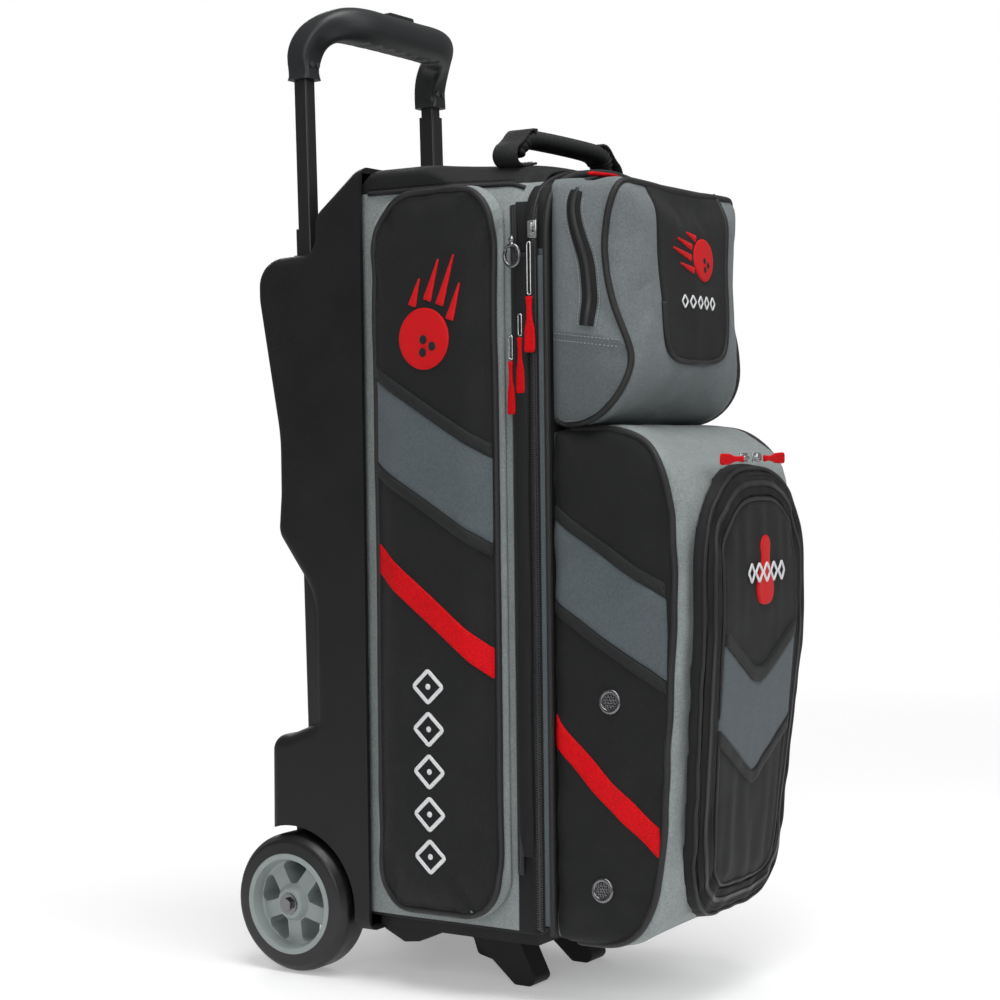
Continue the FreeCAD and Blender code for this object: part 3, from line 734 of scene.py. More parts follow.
def relax(piece, factor=0.5, repeats=4):
    smooth = piece.modifiers.new("relax", "SMOOTH")
    smooth.factor = factor
    smooth.iterations = repeats
    bake(piece)


def symmetric(piece):
    """Make both halves of a piece mirror images, so details fit each side alike."""
    mirror = piece.modifiers.new("halves", "MIRROR")
    mirror.use_bisect_axis[0] = True
    mirror.use_clip = True
    mirror.merge_threshold = 0.5 * MM
    bake(piece)


def refine(piece, material, levels=1):
    """One subdivision and smooth shading."""
    if levels:
        divide = piece.modifiers.new("divide", "SUBSURF")
        divide.levels = levels
        divide.render_levels = levels
        bake(piece)
    piece.data.materials.clear()
    piece.data.materials.append(material)
    piece.data.shade_smooth()


PUFF_FRAMES = 20
CLOTH = {"quality": 4, "mass": 0.25, "tension_stiffness": 14, "compression_stiffness": 14,
         "shear_stiffness": 5, "bending_stiffness": 0.6, "use_pressure": True,
         "uniform_pressure_force": 4.0, "vertex_group_mass": "held"}
puffs = []


def puff(piece, pinned, cap):
    """Queue a pressure simulation of a closed soft piece."""
    start = get_points(piece)
    group = piece.vertex_groups.new(name="held")
    held = np.nonzero(pinned(start, get_normals(piece)))[0]
    group.add([int(i) for i in held], 1.0, "REPLACE")
    cloth = piece.modifiers.new("cloth", "CLOTH")
    for setting, value in CLOTH.items():
        setattr(cloth.settings, setting, value)
    cloth.settings.effector_weights.gravity = 0
    cloth.collision_settings.use_collision = False
    cloth.collision_settings.use_self_collision = False
    puffs.append((piece, start, cap))


def run_puffs():
    """Simulate all queued pieces together, then cap how far each point moved."""
    scene.frame_start, scene.frame_end = 1, PUFF_FRAMES
    for number in range(1, PUFF_FRAMES + 1):
        scene.frame_set(number)
    for piece, start, cap in puffs:
        bake(piece)
        moved = get_points(piece) - start
        length = np.linalg.norm(moved, axis=1, keepdims=True)
        limit = cap(start)[:, None]
        share = limit * np.tanh(length / np.maximum(limit, 1e-3)) / np.maximum(length, 1e-6)
        set_points(piece, start + moved * share)
        piece.vertex_groups.clear()


def ramp(value, low, high):
    """Smooth step from 0 to 1."""
    part = np.clip((value - low) / (high - low), 0, 1)
    return part * part * (3 - 2 * part)


def ripple(points, seed, size):
    """Soft random field from a few slanted waves, between about -1 and 1."""
    random = np.random.default_rng(seed)
    total = np.zeros(len(points))
    for _ in range(7):
        direction = unit(random.normal(size=3))
        length = size * random.uniform(0.7, 1.6)
        total += np.sin(points @ direction * TAU / length + random.uniform(0, TAU))
    return total / 3.2


# side pocket: its back stays on the body, its face is a little smaller than its foot
pocket_skin = solid_copy("side_pocket_body_left", "side_pocket_left", 4.5)
co = get_points(pocket_skin)
depth_share = np.clip((-co[:, 0] - body_x) / 22, 0, 1)
back_share = ramp(co[:, 1], pocket_low[1] + 20, pocket_high[1])
co[:, 1] -= depth_share * back_share * 13
co[:, 1] += depth_share * (1 - back_share) * 1.5
co[:, 0] += 2.5 * depth_share
set_points(pocket_skin, co)
puff(pocket_skin, lambda p, n: p[:, 0] > -body_x - 3.5,
     lambda p: np.where(p[:, 0] > -body_x - 3.5, 0.0, 6.0))

shoe_skin = solid_copy("shoe_body", "shoe_compartment", 5.0)
puff(shoe_skin, lambda p, n: p[:, 1] > shoe_back - 4,
     lambda p: 5.0 - 4.0 * ramp(-p[:, 1], 205, 220) * ramp(-np.abs(p[:, 0]), -97, -85)
     - 4.5 * ramp(p[:, 1], shoe_back - 12, shoe_back - 2))

flap_skin = solid_copy("flap_body", "front_flap", 3.6)
co = get_points(flap_skin)
wide_arch = 14 + np.sqrt(np.clip(85 ** 2 - np.clip(co[:, 2] - 376, 0, 85) ** 2, 1, None))
cad_arch = 37 + np.sqrt(np.clip(62 ** 2 - np.clip(co[:, 2] - 399, 0, 62) ** 2, 1, None))
co[:, 0] *= np.minimum(1, wide_arch / cad_arch)
set_points(flap_skin, co)
relax(flap_skin, 0.5, 2)
puff(flap_skin, lambda p, n: n[:, 1] > 0.2,
     lambda p: 3.0 * ramp(-np.abs(p[:, 0]), -99, -60) + 0.8)

upper_skin = solid_copy("accessory_body", "accessory_pocket", 5.0)
puff(upper_skin, lambda p, n: p[:, 1] > upper_back - 4,
     lambda p: (6.0 - 3.5 * ramp(-p[:, 2], -upper_low[2] - 14, -upper_low[2] - 2)
                - 5.4 * ramp(p[:, 2], 690, 704))
     * (1 - 0.93 * ramp(p[:, 1], upper_back - 12, upper_back - 2)))

run_puffs()

# ------------------------------------------------------------------ folds worked into the soft pieces
co, normal = get_points(pocket_skin), get_normals(pocket_skin)
face = ramp(-co[:, 0], body_x + 8, body_x + 20)
co += normal * (face * (0.7 * ripple(co, 3, 120) + 0.35 * ripple(co, 4, 48)))[:, None]
set_points(pocket_skin, co)
refine(pocket_skin, light_cloth)
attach(pocket_skin, "root")

co, normal = get_points(shoe_skin), get_normals(shoe_skin)
side = ramp(np.abs(co[:, 0]), 90, 106)
top = ramp(co[:, 2], 430, 480)
drag = np.sin((co[:, 1] * 0.55 + co[:, 2]) * TAU / 54 + 1.6 * ripple(co, 12, 150))
co += normal * (side * (1.3 * ripple(co, 5, 90) + 0.9 * drag) + top * 1.5 * ripple(co, 6, 55))[:, None]
set_points(shoe_skin, co)
symmetric(shoe_skin)
refine(shoe_skin, light_cloth)
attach(shoe_skin, "front_door")

co, normal = get_points(flap_skin), get_normals(flap_skin)
front = ramp(-normal[:, 1], 0.2, 0.7) * ramp(-np.abs(co[:, 0]), -64, -40)
fold = np.sin(co[:, 0] * TAU / 25 + 0.9 * ripple(co, 8, 160))
low = ramp(-co[:, 2], -250, -150)
high = ramp(co[:, 2], 320, 420)
co += normal * (front * fold * (0.6 * low + 0.3 * high + 0.15))[:, None]
set_points(flap_skin, co)
symmetric(flap_skin)
refine(flap_skin, black_cloth)
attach(flap_skin, "front_door")

co, normal = get_points(upper_skin), get_normals(upper_skin)
front = ramp(-co[:, 1], 150, 172)
lower = ramp(-co[:, 2], -600, -520)
crease = np.sin((co[:, 0] * 0.8 + co[:, 2] * 0.6) * TAU / 60 + 1.4 * ripple(co, 15, 120))
flat_top = 1 - 0.85 * ramp(co[:, 2], 692, 704)
co += normal * (2.0 * flat_top * ripple(co, 9, 85) + 1.2 * front * lower * crease)[:, None] * (
    ramp(-co[:, 1], -upper_back + 2, -upper_back + 18))[:, None]
groove = np.exp(-((co[:, 1] + 135.5) / 8) ** 2) * ramp(co[:, 2], 696, 703)
co[:, 2] -= 2.6 * groove
set_points(upper_skin, co)
symmetric(upper_skin)
upper_cloth = fabric("accessory_weave", linear(113, 120, 122), 0.9, 0.12, 0.8, 0.1, 4.5)
refine(upper_skin, upper_cloth)
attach(upper_skin, "front_door")


# ------------------------------------------------------------------ main body and door panel
def top_line(x):
    """Height of the domed top at the door seam."""
    share = np.abs(x) / body_x
    return 722 - 9 * share ** 2 - 66 * share ** 9


body_skin = solid_copy("body_cover", "main_compartment", 5.0)
co = get_points(body_skin)
forward = 1 - ramp(co[:, 1], seam_y, 30)
drop = (722 - top_line(co[:, 0])) * forward + 4 * ramp(np.abs(co[:, 0]), 100, 115) * (1 - forward)
co[:, 2] -= drop * ramp(co[:, 2], 600, 722)
set_points(body_skin, co)
relax(body_skin, 0.5, 3)
co, normal = get_points(body_skin), get_normals(body_skin)
outer = ramp(np.abs(co[:, 0]), body_x - 2.5, body_x - 1) * np.abs(normal[:, 0])
co += normal * (outer * 0.5 * ripple(co, 17, 80))[:, None]
set_points(body_skin, co)
symmetric(body_skin)
refine(body_skin, light_cloth, 0)


def colour_regions(piece, cuts, materials, choose):
    """Cut the mesh along planes (point, normal) in mm, then pick a material for each face."""
    piece.data.materials.clear()
    for material in materials:
        piece.data.materials.append(material)
    work = bmesh.new()
    work.from_mesh(piece.data)
    for point, direction in cuts:
        everything = work.verts[:] + work.edges[:] + work.faces[:]
        bmesh.ops.bisect_plane(work, geom=everything, plane_co=Vector(point) * MM,
                               plane_no=Vector(direction), dist=1e-5)
    for face in work.faces:
        face.material_index = choose(face.calc_center_median() / MM, face.normal)
        face.smooth = True
    work.to_mesh(piece.data)
    work.free()


def body_region(at, facing):
    outside = abs(at.x) > body_x - 3 or at.z > top_line(at.x) - 3.5
    inward = facing.x * at.x < -20 or (facing.z < -0.2 and at.z > 300)
    if inward or (not outside and at.z > body_low[2] + 2.5):
        return 2
    if at.z > 705 or at.z < body_low[2] + 3:
        return 1
    # Front strip of each side: black cloth up to about 640 mm; from there to 688 mm the black is painted
    # shade over what is grey side cloth in shadow.
    if at.y < pocket_low[1] - 4 and at.z < 688:
        return 1
    return 0


# The cut at 688 mm ends the black front strip; its part above about 640 mm is painted shade.
colour_regions(body_skin, [((0, 0, 705), (0, 0, 1)), ((0, pocket_low[1] - 4, 0), (0, 1, 0)),
                           ((0, 0, 688), (0, 0, 1))],
               [light_cloth, black_cloth, lining_cloth], body_region)
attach(body_skin, "root")
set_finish(body_skin, "black_fabric")
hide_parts("main_compartment")

door_skin = solid_copy("door_cover", "door_panel", 3.6)
relax(door_skin, 0.5, 2)
refine(door_skin, dark_cloth, 0)


def door_region(at, facing):
    if facing.y > 0.5 and at.y > door_high[1] - 3:
        return 1
    return 2 if abs(at.x) > body_x - 6 and at.z < 646 else 0


colour_regions(door_skin, [((0, door_high[1] - 3, 0), (0, 1, 0)), ((0, 0, 646), (0, 0, 1))],
               [black_cloth, lining_cloth, mid_cloth], door_region)
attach(door_skin, "front_door")
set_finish(door_skin, "black_fabric")
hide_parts("door_panel")

for piece, node, slot in ((pocket_skin, "side_pocket_left", "grey_fabric"),
                          (shoe_skin, "shoe_compartment", "grey_fabric"),
                          (flap_skin, "front_flap", "black_fabric"),
                          (upper_skin, "accessory_pocket", "grey_fabric")):
    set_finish(piece, slot)
    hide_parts(node)
pocket_twin = mirrored(pocket_skin, "side_pocket_body_right")
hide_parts("side_pocket_right")

# ------------------------------------------------------------------ side pockets
def slanted_band(low_u, high_u, level, slope, tall):
    """Corners of a slanted band; level is its lower edge's height at u = 0."""
    return evenly([(low_u, level + slope * low_u), (high_u, level + slope * high_u),
                   (high_u, level + tall + slope * high_u), (low_u, level + tall + slope * low_u)],
                  2.5, closed=True)


def dress_band(prefix, skin, low_u, high_u, level, slope, tall, body, slot="grey_fabric"):
    """Grey band with a raised black webbing border above and below it."""
    made = [patch(f"{prefix}_band", slanted_band(low_u, high_u, level, slope, tall), skin, "left",
                  mid_cloth, body, slot, thick=1.5)]
    for name, start in (("lower", level - 12), ("upper", level + tall - 0.5)):
        border = slanted_band(low_u, high_u, start, slope, 12.5)
        made.append(patch(f"{prefix}_border_{name}", border, skin, "left", black_web, body,
                          "black_fabric", thick=2.3))
    return made


def dress_stripe(prefix, skin, low_u, high_u, level, slope, tall, body):
    """Red stripe with a stitch row along each edge."""
    made = [patch(f"{prefix}_stripe", slanted_band(low_u, high_u, level, slope, tall), skin, "left",
                  red_web, body, "red_webbing", thick=1.9)]
    heap = Heap()
    for start in (level + 1.8, level + tall - 1.8):
        row = evenly([(low_u, start + slope * low_u), (high_u, start + slope * high_u)], 3.0)
        stitch_line(heap, row, skin, "left", lift=2.1)
    made.append(heap.make(f"{prefix}_stripe_stitches", red_thread, body, "red_webbing"))
    return made


def stroke(name, points, skin, view, width, material, body, closed=True, slot=None, tall=1.6,
           lift=1.0):
    """Satin stroke of embroidery along a line."""
    spots, normals = skin.press(points, view)
    section = ring_section(width / 2, 8, tall / width)
    return tube(name, spots + normals * lift, 1, material, body, closed, slot, normals, section)


def circle(u, v, radius, step=1.6, stretch=1.0):
    count = max(int(TAU * radius / step), 10)
    angles = np.linspace(0, TAU, count, endpoint=False)
    return np.stack([u + radius * np.cos(angles), v + stretch * radius * np.sin(angles)], 1)


def diamond(u, v, half_wide, half_tall, radius, step):
    return rounded([(u - half_wide, v, radius), (u, v - half_tall, radius),
                    (u + half_wide, v, radius), (u, v + half_tall, radius)], step)


def streak_outline(u, v, along, across, start, end, width):
    """Straight tapered streak behind the ball; along and across are its two axes."""
    at = np.array([u, v])
    left, right = at + across * width / 2, at - across * width / 2
    tip = at + along * end
    return rounded([(*(left + along * start), 1.0), (*(tip + across * 0.8), 0.4),
                    (*(tip - across * 0.8), 0.4), (*(right + along * start), 1.0)], 1.2)


def ball_emblem(prefix, skin, view, u, v, size, body, turn, lift=1.2):
    """Embroidered rolling ball with three finger holes and streaks behind it."""
    along = np.array([math.cos(turn), math.sin(turn)])
    across = np.array([-along[1], along[0]])
    radius = 0.31 * size
    centre = np.array([u, v]) - along * 0.19 * size
    look = dict(thick=0.9, spacing=2.5, lift=lift)
    made = [patch(f"{prefix}_ball", circle(*centre, radius), skin, view, red_thread, body,
                  "red_webbing", **look)]
    for index, (ahead, aside) in enumerate(((-0.42, 0.12), (-0.12, 0.42), (-0.02, 0.02))):
        at = centre + (along * ahead + across * aside) * radius
        made.append(patch(f"{prefix}_hole_{index}", circle(*at, 0.15 * radius, 0.8), skin, view,
                          black_thread, body, "black_fabric", thick=0.7, spacing=2, lift=lift + 0.9))
    for index, (aside, end) in enumerate(((0.78, 2.1), (0.26, 2.9), (-0.26, 2.6), (-0.78, 1.8))):
        start = math.sqrt(1 - aside * aside) + 0.24
        streak = streak_outline(*(centre + across * aside * radius), along, across,
                                start * radius, end * radius, 0.32 * radius)
        made.append(patch(f"{prefix}_streak_{index}", streak, skin, view, red_thread, body,
                          "red_webbing", **look))
    return made


pocket = Skin(pocket_skin)
pocket_edge = rounded([(-54.5, 74.5, 34), (-54.5, 700, 32), (66, 699, 46), (66, 74.5, 26)])
side_pieces = [patch("pocket_panel_left", pocket_edge, pocket, "left", side_cloth, "root",
                     "black_fabric", thick=0.8)]
side_pieces += dress_band("pocket_left", pocket, -53, 64.5, 427.5, 0.598, 73.5, "root")
side_pieces += dress_stripe("pocket_left", pocket, -53, 64.5, 320, 0.758, 27, "root")
side_pieces += ball_emblem("pocket_left_emblem", pocket, "left", 3, 588, 86, "root", 1.9)
for number in range(5):
    middle_z = 124 + number * 37
    side_pieces.append(stroke(f"pocket_left_mark_{number}", diamond(8.5, middle_z, 15, 14, 1.5, 1.5),
                              pocket, "left", 3.8, white_thread, "root", slot="grey_fabric"))
    side_pieces.append(patch(f"pocket_left_mark_dot_{number}", circle(8.5, middle_z, 2.6, 0.9), pocket,
                             "left", white_thread, "root", "grey_fabric", thick=0.9, spacing=2,
                             lift=0.8))
side_pieces.append(piping("pocket_piping_left", pocket_edge, pocket, "left", 3.0))
heap = Heap()
spots, normals = pocket.press(inset(pocket_edge, 5.5), "left")
stitches(heap, np.vstack([spots, spots[:1]]), np.vstack([normals, normals[:1]]), lift=1.2)
side_pieces.append(heap.make("pocket_stitches_left", black_thread, "root", "black_fabric"))


# ------------------------------------------------------------------ zips
def zip_teeth(path, outward, across, side, pitch=2.1, reach=3.1, tall=1.5):
    """Points and faces of one half of a zip's teeth."""
    lengths = np.linalg.norm(np.diff(path, axis=0), axis=1)
    at = np.concatenate([[0], np.cumsum(lengths)])
    places = np.arange(pitch * (0.75 if side > 0 else 0.25), at[-1], pitch)
    centre, up, sideways = (np.stack([np.interp(places, at, values[:, k]) for k in range(3)], 1)
                            for values in (path, outward, across))
    up, sideways = unit(up), unit(sideways) * side
    along = np.cross(up, sideways)
    corners = []
    half = pitch * 0.36
    for height, shrink in ((0.0, 1.0), (tall * 0.75, 0.95), (tall, 0.55)):
        for u, v in ((-0.9, -half), (reach, -half), (reach, half), (-0.9, half)):
            middle_u = (reach - 0.9) / 2
            corners.append(centre + sideways * (middle_u + (u - middle_u) * shrink)
                           + along * (v * shrink) + up * height)
    points = np.stack(corners, 1).reshape(-1, 3)
    faces = []
    for tooth in range(len(places)):
        base = tooth * 12
        for level in (0, 4):
            for k in range(4):
                m = (k + 1) % 4
                faces.append((base + level + k, base + level + m, base + level + 4 + m,
                              base + level + 4 + k))
        faces.append((base + 8, base + 9, base + 10, base + 11))
        faces.append((base + 3, base + 2, base + 1, base))
    return points, faces


def teeth_pair(prefix, labels, path, outward, across, reach, tall):
    """Both halves of a fine zip's teeth on the door."""
    for side, label in zip((1, -1), labels):
        points, faces = zip_teeth(path, outward, across, side, 2.0, reach, tall)
        make(f"{prefix}_{label}", points, faces, coil_nylon, "front_door", "black_fabric",
             smooth=False)


def zip_half(prefix, path, outward, across, side, body, tape=9.0, slot="black_fabric", pitch=2.1,
             lift=0.6):
    """Tape and teeth of one side of a zip."""
    middle_line = path + across * side * (tape / 2 + 0.6) + outward * lift
    tube(f"{prefix}_tape", middle_line, 1, tape_cloth, body, slot=slot, hint=outward,
         section=strap_section(tape, 1.0, 0.3))
    points, faces = zip_teeth(path + outward * (lift + 0.4), outward, across, side, pitch)
    make(f"{prefix}_teeth", points, faces, coil_nylon, body, slot, smooth=False)


def seam_ring(lift, low=66.0, right_low=610.0):
    """Line around the bag's opening at the door seam, in (x, z)."""
    edge = body_x + 0.6
    half = [(edge, 640), (edge - 0.6, 668), (edge - 8, 691), (edge - 24, 704), (58, 715), (0, 721)]
    line = ([(-edge, low)] + [(-x, z) for x, z in half] + half[-2::-1] + [(edge, right_low)])
    line = curve(line, 3.0)
    tangent = unit(np.gradient(line, axis=0))
    normal = np.stack([-tangent[:, 1], tangent[:, 0]], 1)
    return line + normal * lift, normal


ring, ring_normal = seam_ring(0.4)
zip_path, zip_out = at_depth(ring, seam_y - 0.25), at_depth(ring_normal, 0.0)
zip_across = steady(BACK, len(ring))
zip_half("main_zip_root", zip_path, zip_out, zip_across, 1, "root")
zip_half("main_zip_door", zip_path, zip_out, zip_across, -1, "front_door", tape=3.6)

# Cover strip over the lower run of the zip, and the door's piping beside it.
rise = np.linspace(128, 643, 120)
cover = np.stack([np.full(120, -body_x - 3.9), np.full(120, seam_y + 12.3), rise], 1)
cover[:, 0] += 1.8 * (1 - ramp(rise, 128, 150)) + 1.8 * ramp(rise, 622, 643)
cover[:, 1] += 0.5 * np.sin(rise / 31)
arch = np.array([(-7, -1.2), (-7, -0.2), (-4, 0.9), (0, 1.3), (4, 0.9), (7, -0.2), (7, -1.2),
                 (0, -0.1)])
tube("zip_cover", cover, 1, side_cloth, "root", slot="black_fabric",
     hint=steady(LEFT, 120), section=arch)
door_edge = at_depth(seam_ring(0.2, 62.0, 62.0)[0], door_low[1] - 0.6)
tube("door_piping", door_edge, 2.7, piping_cloth, "front_door", slot="black_fabric")
band = np.stack([np.full(60, -body_x - 0.3), np.full(60, seam_y - 5.4), np.linspace(70, 640, 60)], 1)
tube("door_edge_band", band, 1, mid_cloth, "front_door", slot="grey_fabric",
     hint=steady(LEFT, 60), section=strap_section(8, 1.6, 0.5))

# Fine zip up the front of the left side pocket's foot.
foot_line = curve([(-69.5, 112), (-69.5, 640), (-69, 684)], 3.0)
foot_path = np.insert(foot_line, 0, -body_x - 1.2, axis=1)
foot_out = steady(LEFT, len(foot_line))
foot_across = np.cross(foot_out, unit(np.gradient(foot_path, axis=0)))
for side in (1, -1):
    zip_half(f"pocket_zip_{'inner' if side > 0 else 'outer'}", foot_path, foot_out, foot_across, side,
             "root", tape=2.2, pitch=1.7)

# ------------------------------------------------------------------ seams of the body
body = Skin(body_skin)
strip_line = evenly([(84, 705), (-60, 704), (-70, 700)], 3.0)
side_pieces.append(piping("body_top_piping_left", strip_line, body, "left", 2.2, closed=False,
                          lift=0.6))
heap = Heap()
stitch_line(heap, evenly([(84, 709.5), (-60, 708.5)], 3.0), body, "left")
side_pieces.append(heap.make("body_top_stitches_left", black_thread, "root", "black_fabric"))

# ------------------------------------------------------------------ shoe compartment
shoe = Skin(shoe_skin)
shoe_line = curve([(-101, 492), (-147, 493), (-180, 488), (-205, 466), (-213, 430), (-214, 351),
                   (-209, 269), (-200, 144), (-193, 96), (-176, 66), (-142, 56), (-101, 56)], 2.5)
shoe_edge = evenly(np.vstack([shoe_line, [(-101, 57)], [(-101, 491)]]), 2.5, closed=True)
door_pieces = [patch("shoe_side_left", shoe_edge, shoe, "left", side_cloth, "front_door",
                     "black_fabric", thick=0.8)]
door_pieces += dress_band("shoe_left", shoe, -207.5, -101.5, 412, 0.622, 69, "front_door")
door_pieces += dress_stripe("shoe_left", shoe, -197.5, -101.5, 321.5, 0.95, 27, "front_door")
door_pieces.append(piping("shoe_piping_left", shoe_line, shoe, "left", 2.9, "front_door", False))


def vent(name, at, skin):
    """Metal eyelet with a punched screen."""
    spots, normals = skin.press([at], "left")
    centre, out = spots[0] + normals[0] * 0.7, normals[0]
    side = unit(np.cross(out, [0, 0, 1.0]))
    up = np.cross(side, out)
    angles = np.linspace(0, TAU, 40, endpoint=False)
    round_path = centre + np.outer(np.cos(angles), side) * 8.8 + np.outer(np.sin(angles), up) * 8.8
    ring_piece = tube(f"{name}_rim", round_path, 1, dark_metal, "front_door", True, "bright_metal",
                      steady(out, 40), ring_section(1.9, 10, 0.7))
    heap = Heap()
    for ring_number, count in enumerate((1, 6, 12)):
        for index in range(count):
            angle = TAU * index / count
            reach = ring_number * 2.75
            place = centre + side * reach * math.cos(angle) + up * reach * math.sin(angle) + out * 0.1
            spokes = np.linspace(0, TAU, 9)[:-1]
            hoop = place + np.outer(np.cos(spokes), side) * 1.25 + np.outer(np.sin(spokes), up) * 1.25
            heap.add(*sweep_mesh(hoop, ring_section(0.42, 5), closed=True, hint=steady(out, 8)))
    screen = heap.make(f"{name}_screen", dark_metal, "front_door", "bright_metal")
    disc = patch(f"{name}_backing", circle(*at, 8.3, 1.4), skin, "left", tape_cloth, "front_door",
                 "black_fabric", thick=0.2, lift=0.7, spacing=3)
    return [ring_piece, screen, disc]


vent_low, vent_high = box_mm("vents")
for number, at in enumerate(((vent_low[1] + 10, vent_high[2] - 10), (vent_high[1] - 10, vent_low[2] + 10))):
    door_pieces += vent(f"vent_left_{number}", at, shoe)
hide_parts("vents")

# ------------------------------------------------------------------ front flap
flap = Skin(flap_skin)
flap_edge = rounded([(-82, 74, 56), (-99, 300, 300), (-99, 461, 86), (99, 461, 86),
                     (99, 300, 300), (82, 74, 56)], 3.0)


def flap_ring(name, distance, radius, material, lift=0.5, section=None, slot="black_fabric"):
    line = inset(flap_edge, distance)
    spots, normals = flap.press(line, "front")
    normals = unit(smooth_line(normals, True, 8))
    return tube(name, smooth_line(spots, True, 4) + normals * lift, radius, material, "front_door",
                True, slot, normals, section)


flap_ring("flap_edge_piping", 3.5, 1.7, piping_cloth, 0.3)
flap_ring("flap_tape", 16.5, 1, tape_cloth, 0.5, strap_section(20, 1.2, 0.4))
flap_ring("flap_ridge_outer", 9.5, 0.6, tape_cloth, 0.8)
flap_ring("flap_ridge_inner", 23.5, 0.6, tape_cloth, 0.8)
spots, normals = flap.press(inset(flap_edge, 16.5), "front")
normals = unit(smooth_line(normals, True, 8))
spots = smooth_line(spots, True, 4) + normals * 1.1
loop = np.vstack([spots, spots[:1]])
loop_out = np.vstack([normals, normals[:1]])
loop_across = np.cross(loop_out, unit(np.gradient(loop, axis=0)))
teeth_pair("flap_zip", ("inner", "outer"), loop, loop_out, loop_across, 2.4, 1.3)
flap_ring("flap_panel_piping", 29.5, 1.7, piping_cloth, 0.6)


def flap_folds(uv, away):
    """Upright folds of the flap's loose middle panel."""
    wave = np.sin(uv[:, 0] * TAU / 31 + 0.02 * uv[:, 1]) + 0.5 * np.sin(uv[:, 0] * TAU / 17 + 1.3)
    strong = 0.25 + ramp(-uv[:, 1], -215, -150) + 0.8 * ramp(uv[:, 1], 330, 410)
    return (0.7 + 0.4 * wave) * strong * ramp(away, 0, 12)


patch("flap_panel", inset(flap_edge, 30.5), flap, "front", black_cloth, "front_door", "black_fabric",
      thick=1.0, shape=flap_folds)


def chevron_band(low, high, dip_low, dip_high, round_low, round_high):
    return rounded([(-67.5, low, 0), (0, dip_low, round_low), (67.5, low, 0), (67.5, high, 0),
                    (0, dip_high, round_high), (-67.5, high, 0)], 2.5)


patch("flap_chevron", chevron_band(240, 312, 196, 270, 10, 34), flap, "front", mid_cloth,
      "front_door", "grey_fabric", thick=2.3)
patch("flap_chevron_border_upper", chevron_band(311, 325, 269, 283, 34, 34), flap, "front", black_web,
      "front_door", "black_fabric", thick=3.2)
patch("flap_chevron_border_lower", chevron_band(228, 241, 184, 197, 10, 10), flap, "front", black_web,
      "front_door", "black_fabric", thick=3.2)

# Mark on the flap: a red pin with a row of white diamonds across it.
pin = curve([(0, 60), (7, 58), (10, 50), (7, 41), (8, 35), (13, 27), (16.5, 16), (14, 5), (8, 0),
             (-8, 0), (-14, 5), (-16.5, 16), (-13, 27), (-8, 35), (-7, 41), (-10, 50), (-7, 58)],
            1.6, closed=True)
patch("flap_mark_pin", pin + np.array([5, 341]), flap, "front", red_thread, "front_door",
      "red_webbing", thick=0.9, spacing=2.5, lift=2.4)
for number in range(5):
    at = 5 + (number - 2) * 14.5
    stroke(f"flap_mark_{number}", diamond(at, 369, 6.2, 8, 1, 1.2), flap, "front", 3.0,
           white_thread, "front_door", slot="grey_fabric", tall=1.4, lift=3.6)

# ------------------------------------------------------------------ accessory pocket
upper = Skin(upper_skin)
band_line = curve([(-130, 704), (-126, 691), (-124, 677), (-130, 655), (-138, 636), (-141, 607),
                   (-138, 579)], 2.5)
spots, normals = upper.press(band_line, "left")
spots, normals = smooth_line(spots, False, 4), unit(smooth_line(normals, False, 6))
top_line_points = np.array([(x, -131.0) for x in np.arange(-92.0, 1.0, 3.0)])
top_spots, top_normals = upper.press(top_line_points, "top")
spots = smooth_line(both_sides(np.vstack([spots[::-1], top_spots])), False, 10)
normals = unit(smooth_line(both_sides(np.vstack([normals[::-1], top_normals])), False, 16))
tube("accessory_zip_tape", spots + normals * 0.8, 1, tape_cloth, "front_door", slot="black_fabric",
     hint=normals, section=strap_section(13, 1.8, 0.6))
across = np.cross(normals, unit(np.gradient(spots, axis=0)))
teeth_pair("accessory_zip", ("front", "rear"), spots + normals * 1.6, normals, across, 2.2, 1.2)
heap = Heap()
for shift in (8.5, -8.5):
    stitches(heap, spots + across * shift + normals * 0.2, normals, pitch=3.0, length=1.9)
heap.make("accessory_zip_stitches", grey_thread, "front_door", "grey_fabric")

lower_cloth = fabric("accessory_side_weave", linear(94, 101, 103), 0.9, 0.12, 0.8, 0.1, 4.5)
yoke_edge = curve([(-101, 577), (-160, 569), (-170, 560), (-172, 545), (-163, 521), (-138, 501),
                   (-101, 500)], 2.5, passes=2)
door_pieces.append(patch("accessory_side_yoke_left", evenly(yoke_edge, 2.5, closed=True), upper,
                         "left", lower_cloth, "front_door", "grey_fabric", thick=0.6))
heap = Heap()
for drop in (2.5, 8.0):
    stitch_line(heap, evenly([(-102, 577 - drop), (-163, 569 - drop)], 3.0), upper, "left", lift=0.9)
door_pieces.append(heap.make("accessory_yoke_stitches_left", grey_thread, "front_door",
                             "grey_fabric"))

side_seam = curve([(-101, 497), (-138, 499), (-163, 519), (-173, 545), (-170, 566), (-157, 602),
                   (-151, 642), (-155, 670), (-163, 694), (-166, 702)], 2.5)
seam_spots, seam_normals = upper.press(side_seam, "left")
across_points = np.array([(x, -167.0) for x in np.arange(-96.0, 1.0, 3.0)])
top_spots, top_normals = upper.press(across_points, "top")
seam_spots = both_sides(np.vstack([seam_spots, top_spots]))
seam_normals = both_sides(np.vstack([seam_normals, top_normals]))
seam_path = smooth_line(seam_spots, False, 8) + unit(smooth_line(seam_normals, False, 12)) * 0.6
tube("accessory_piping", evenly(seam_path, 3.0), 3.0, piping_cloth, "front_door", slot="black_fabric")

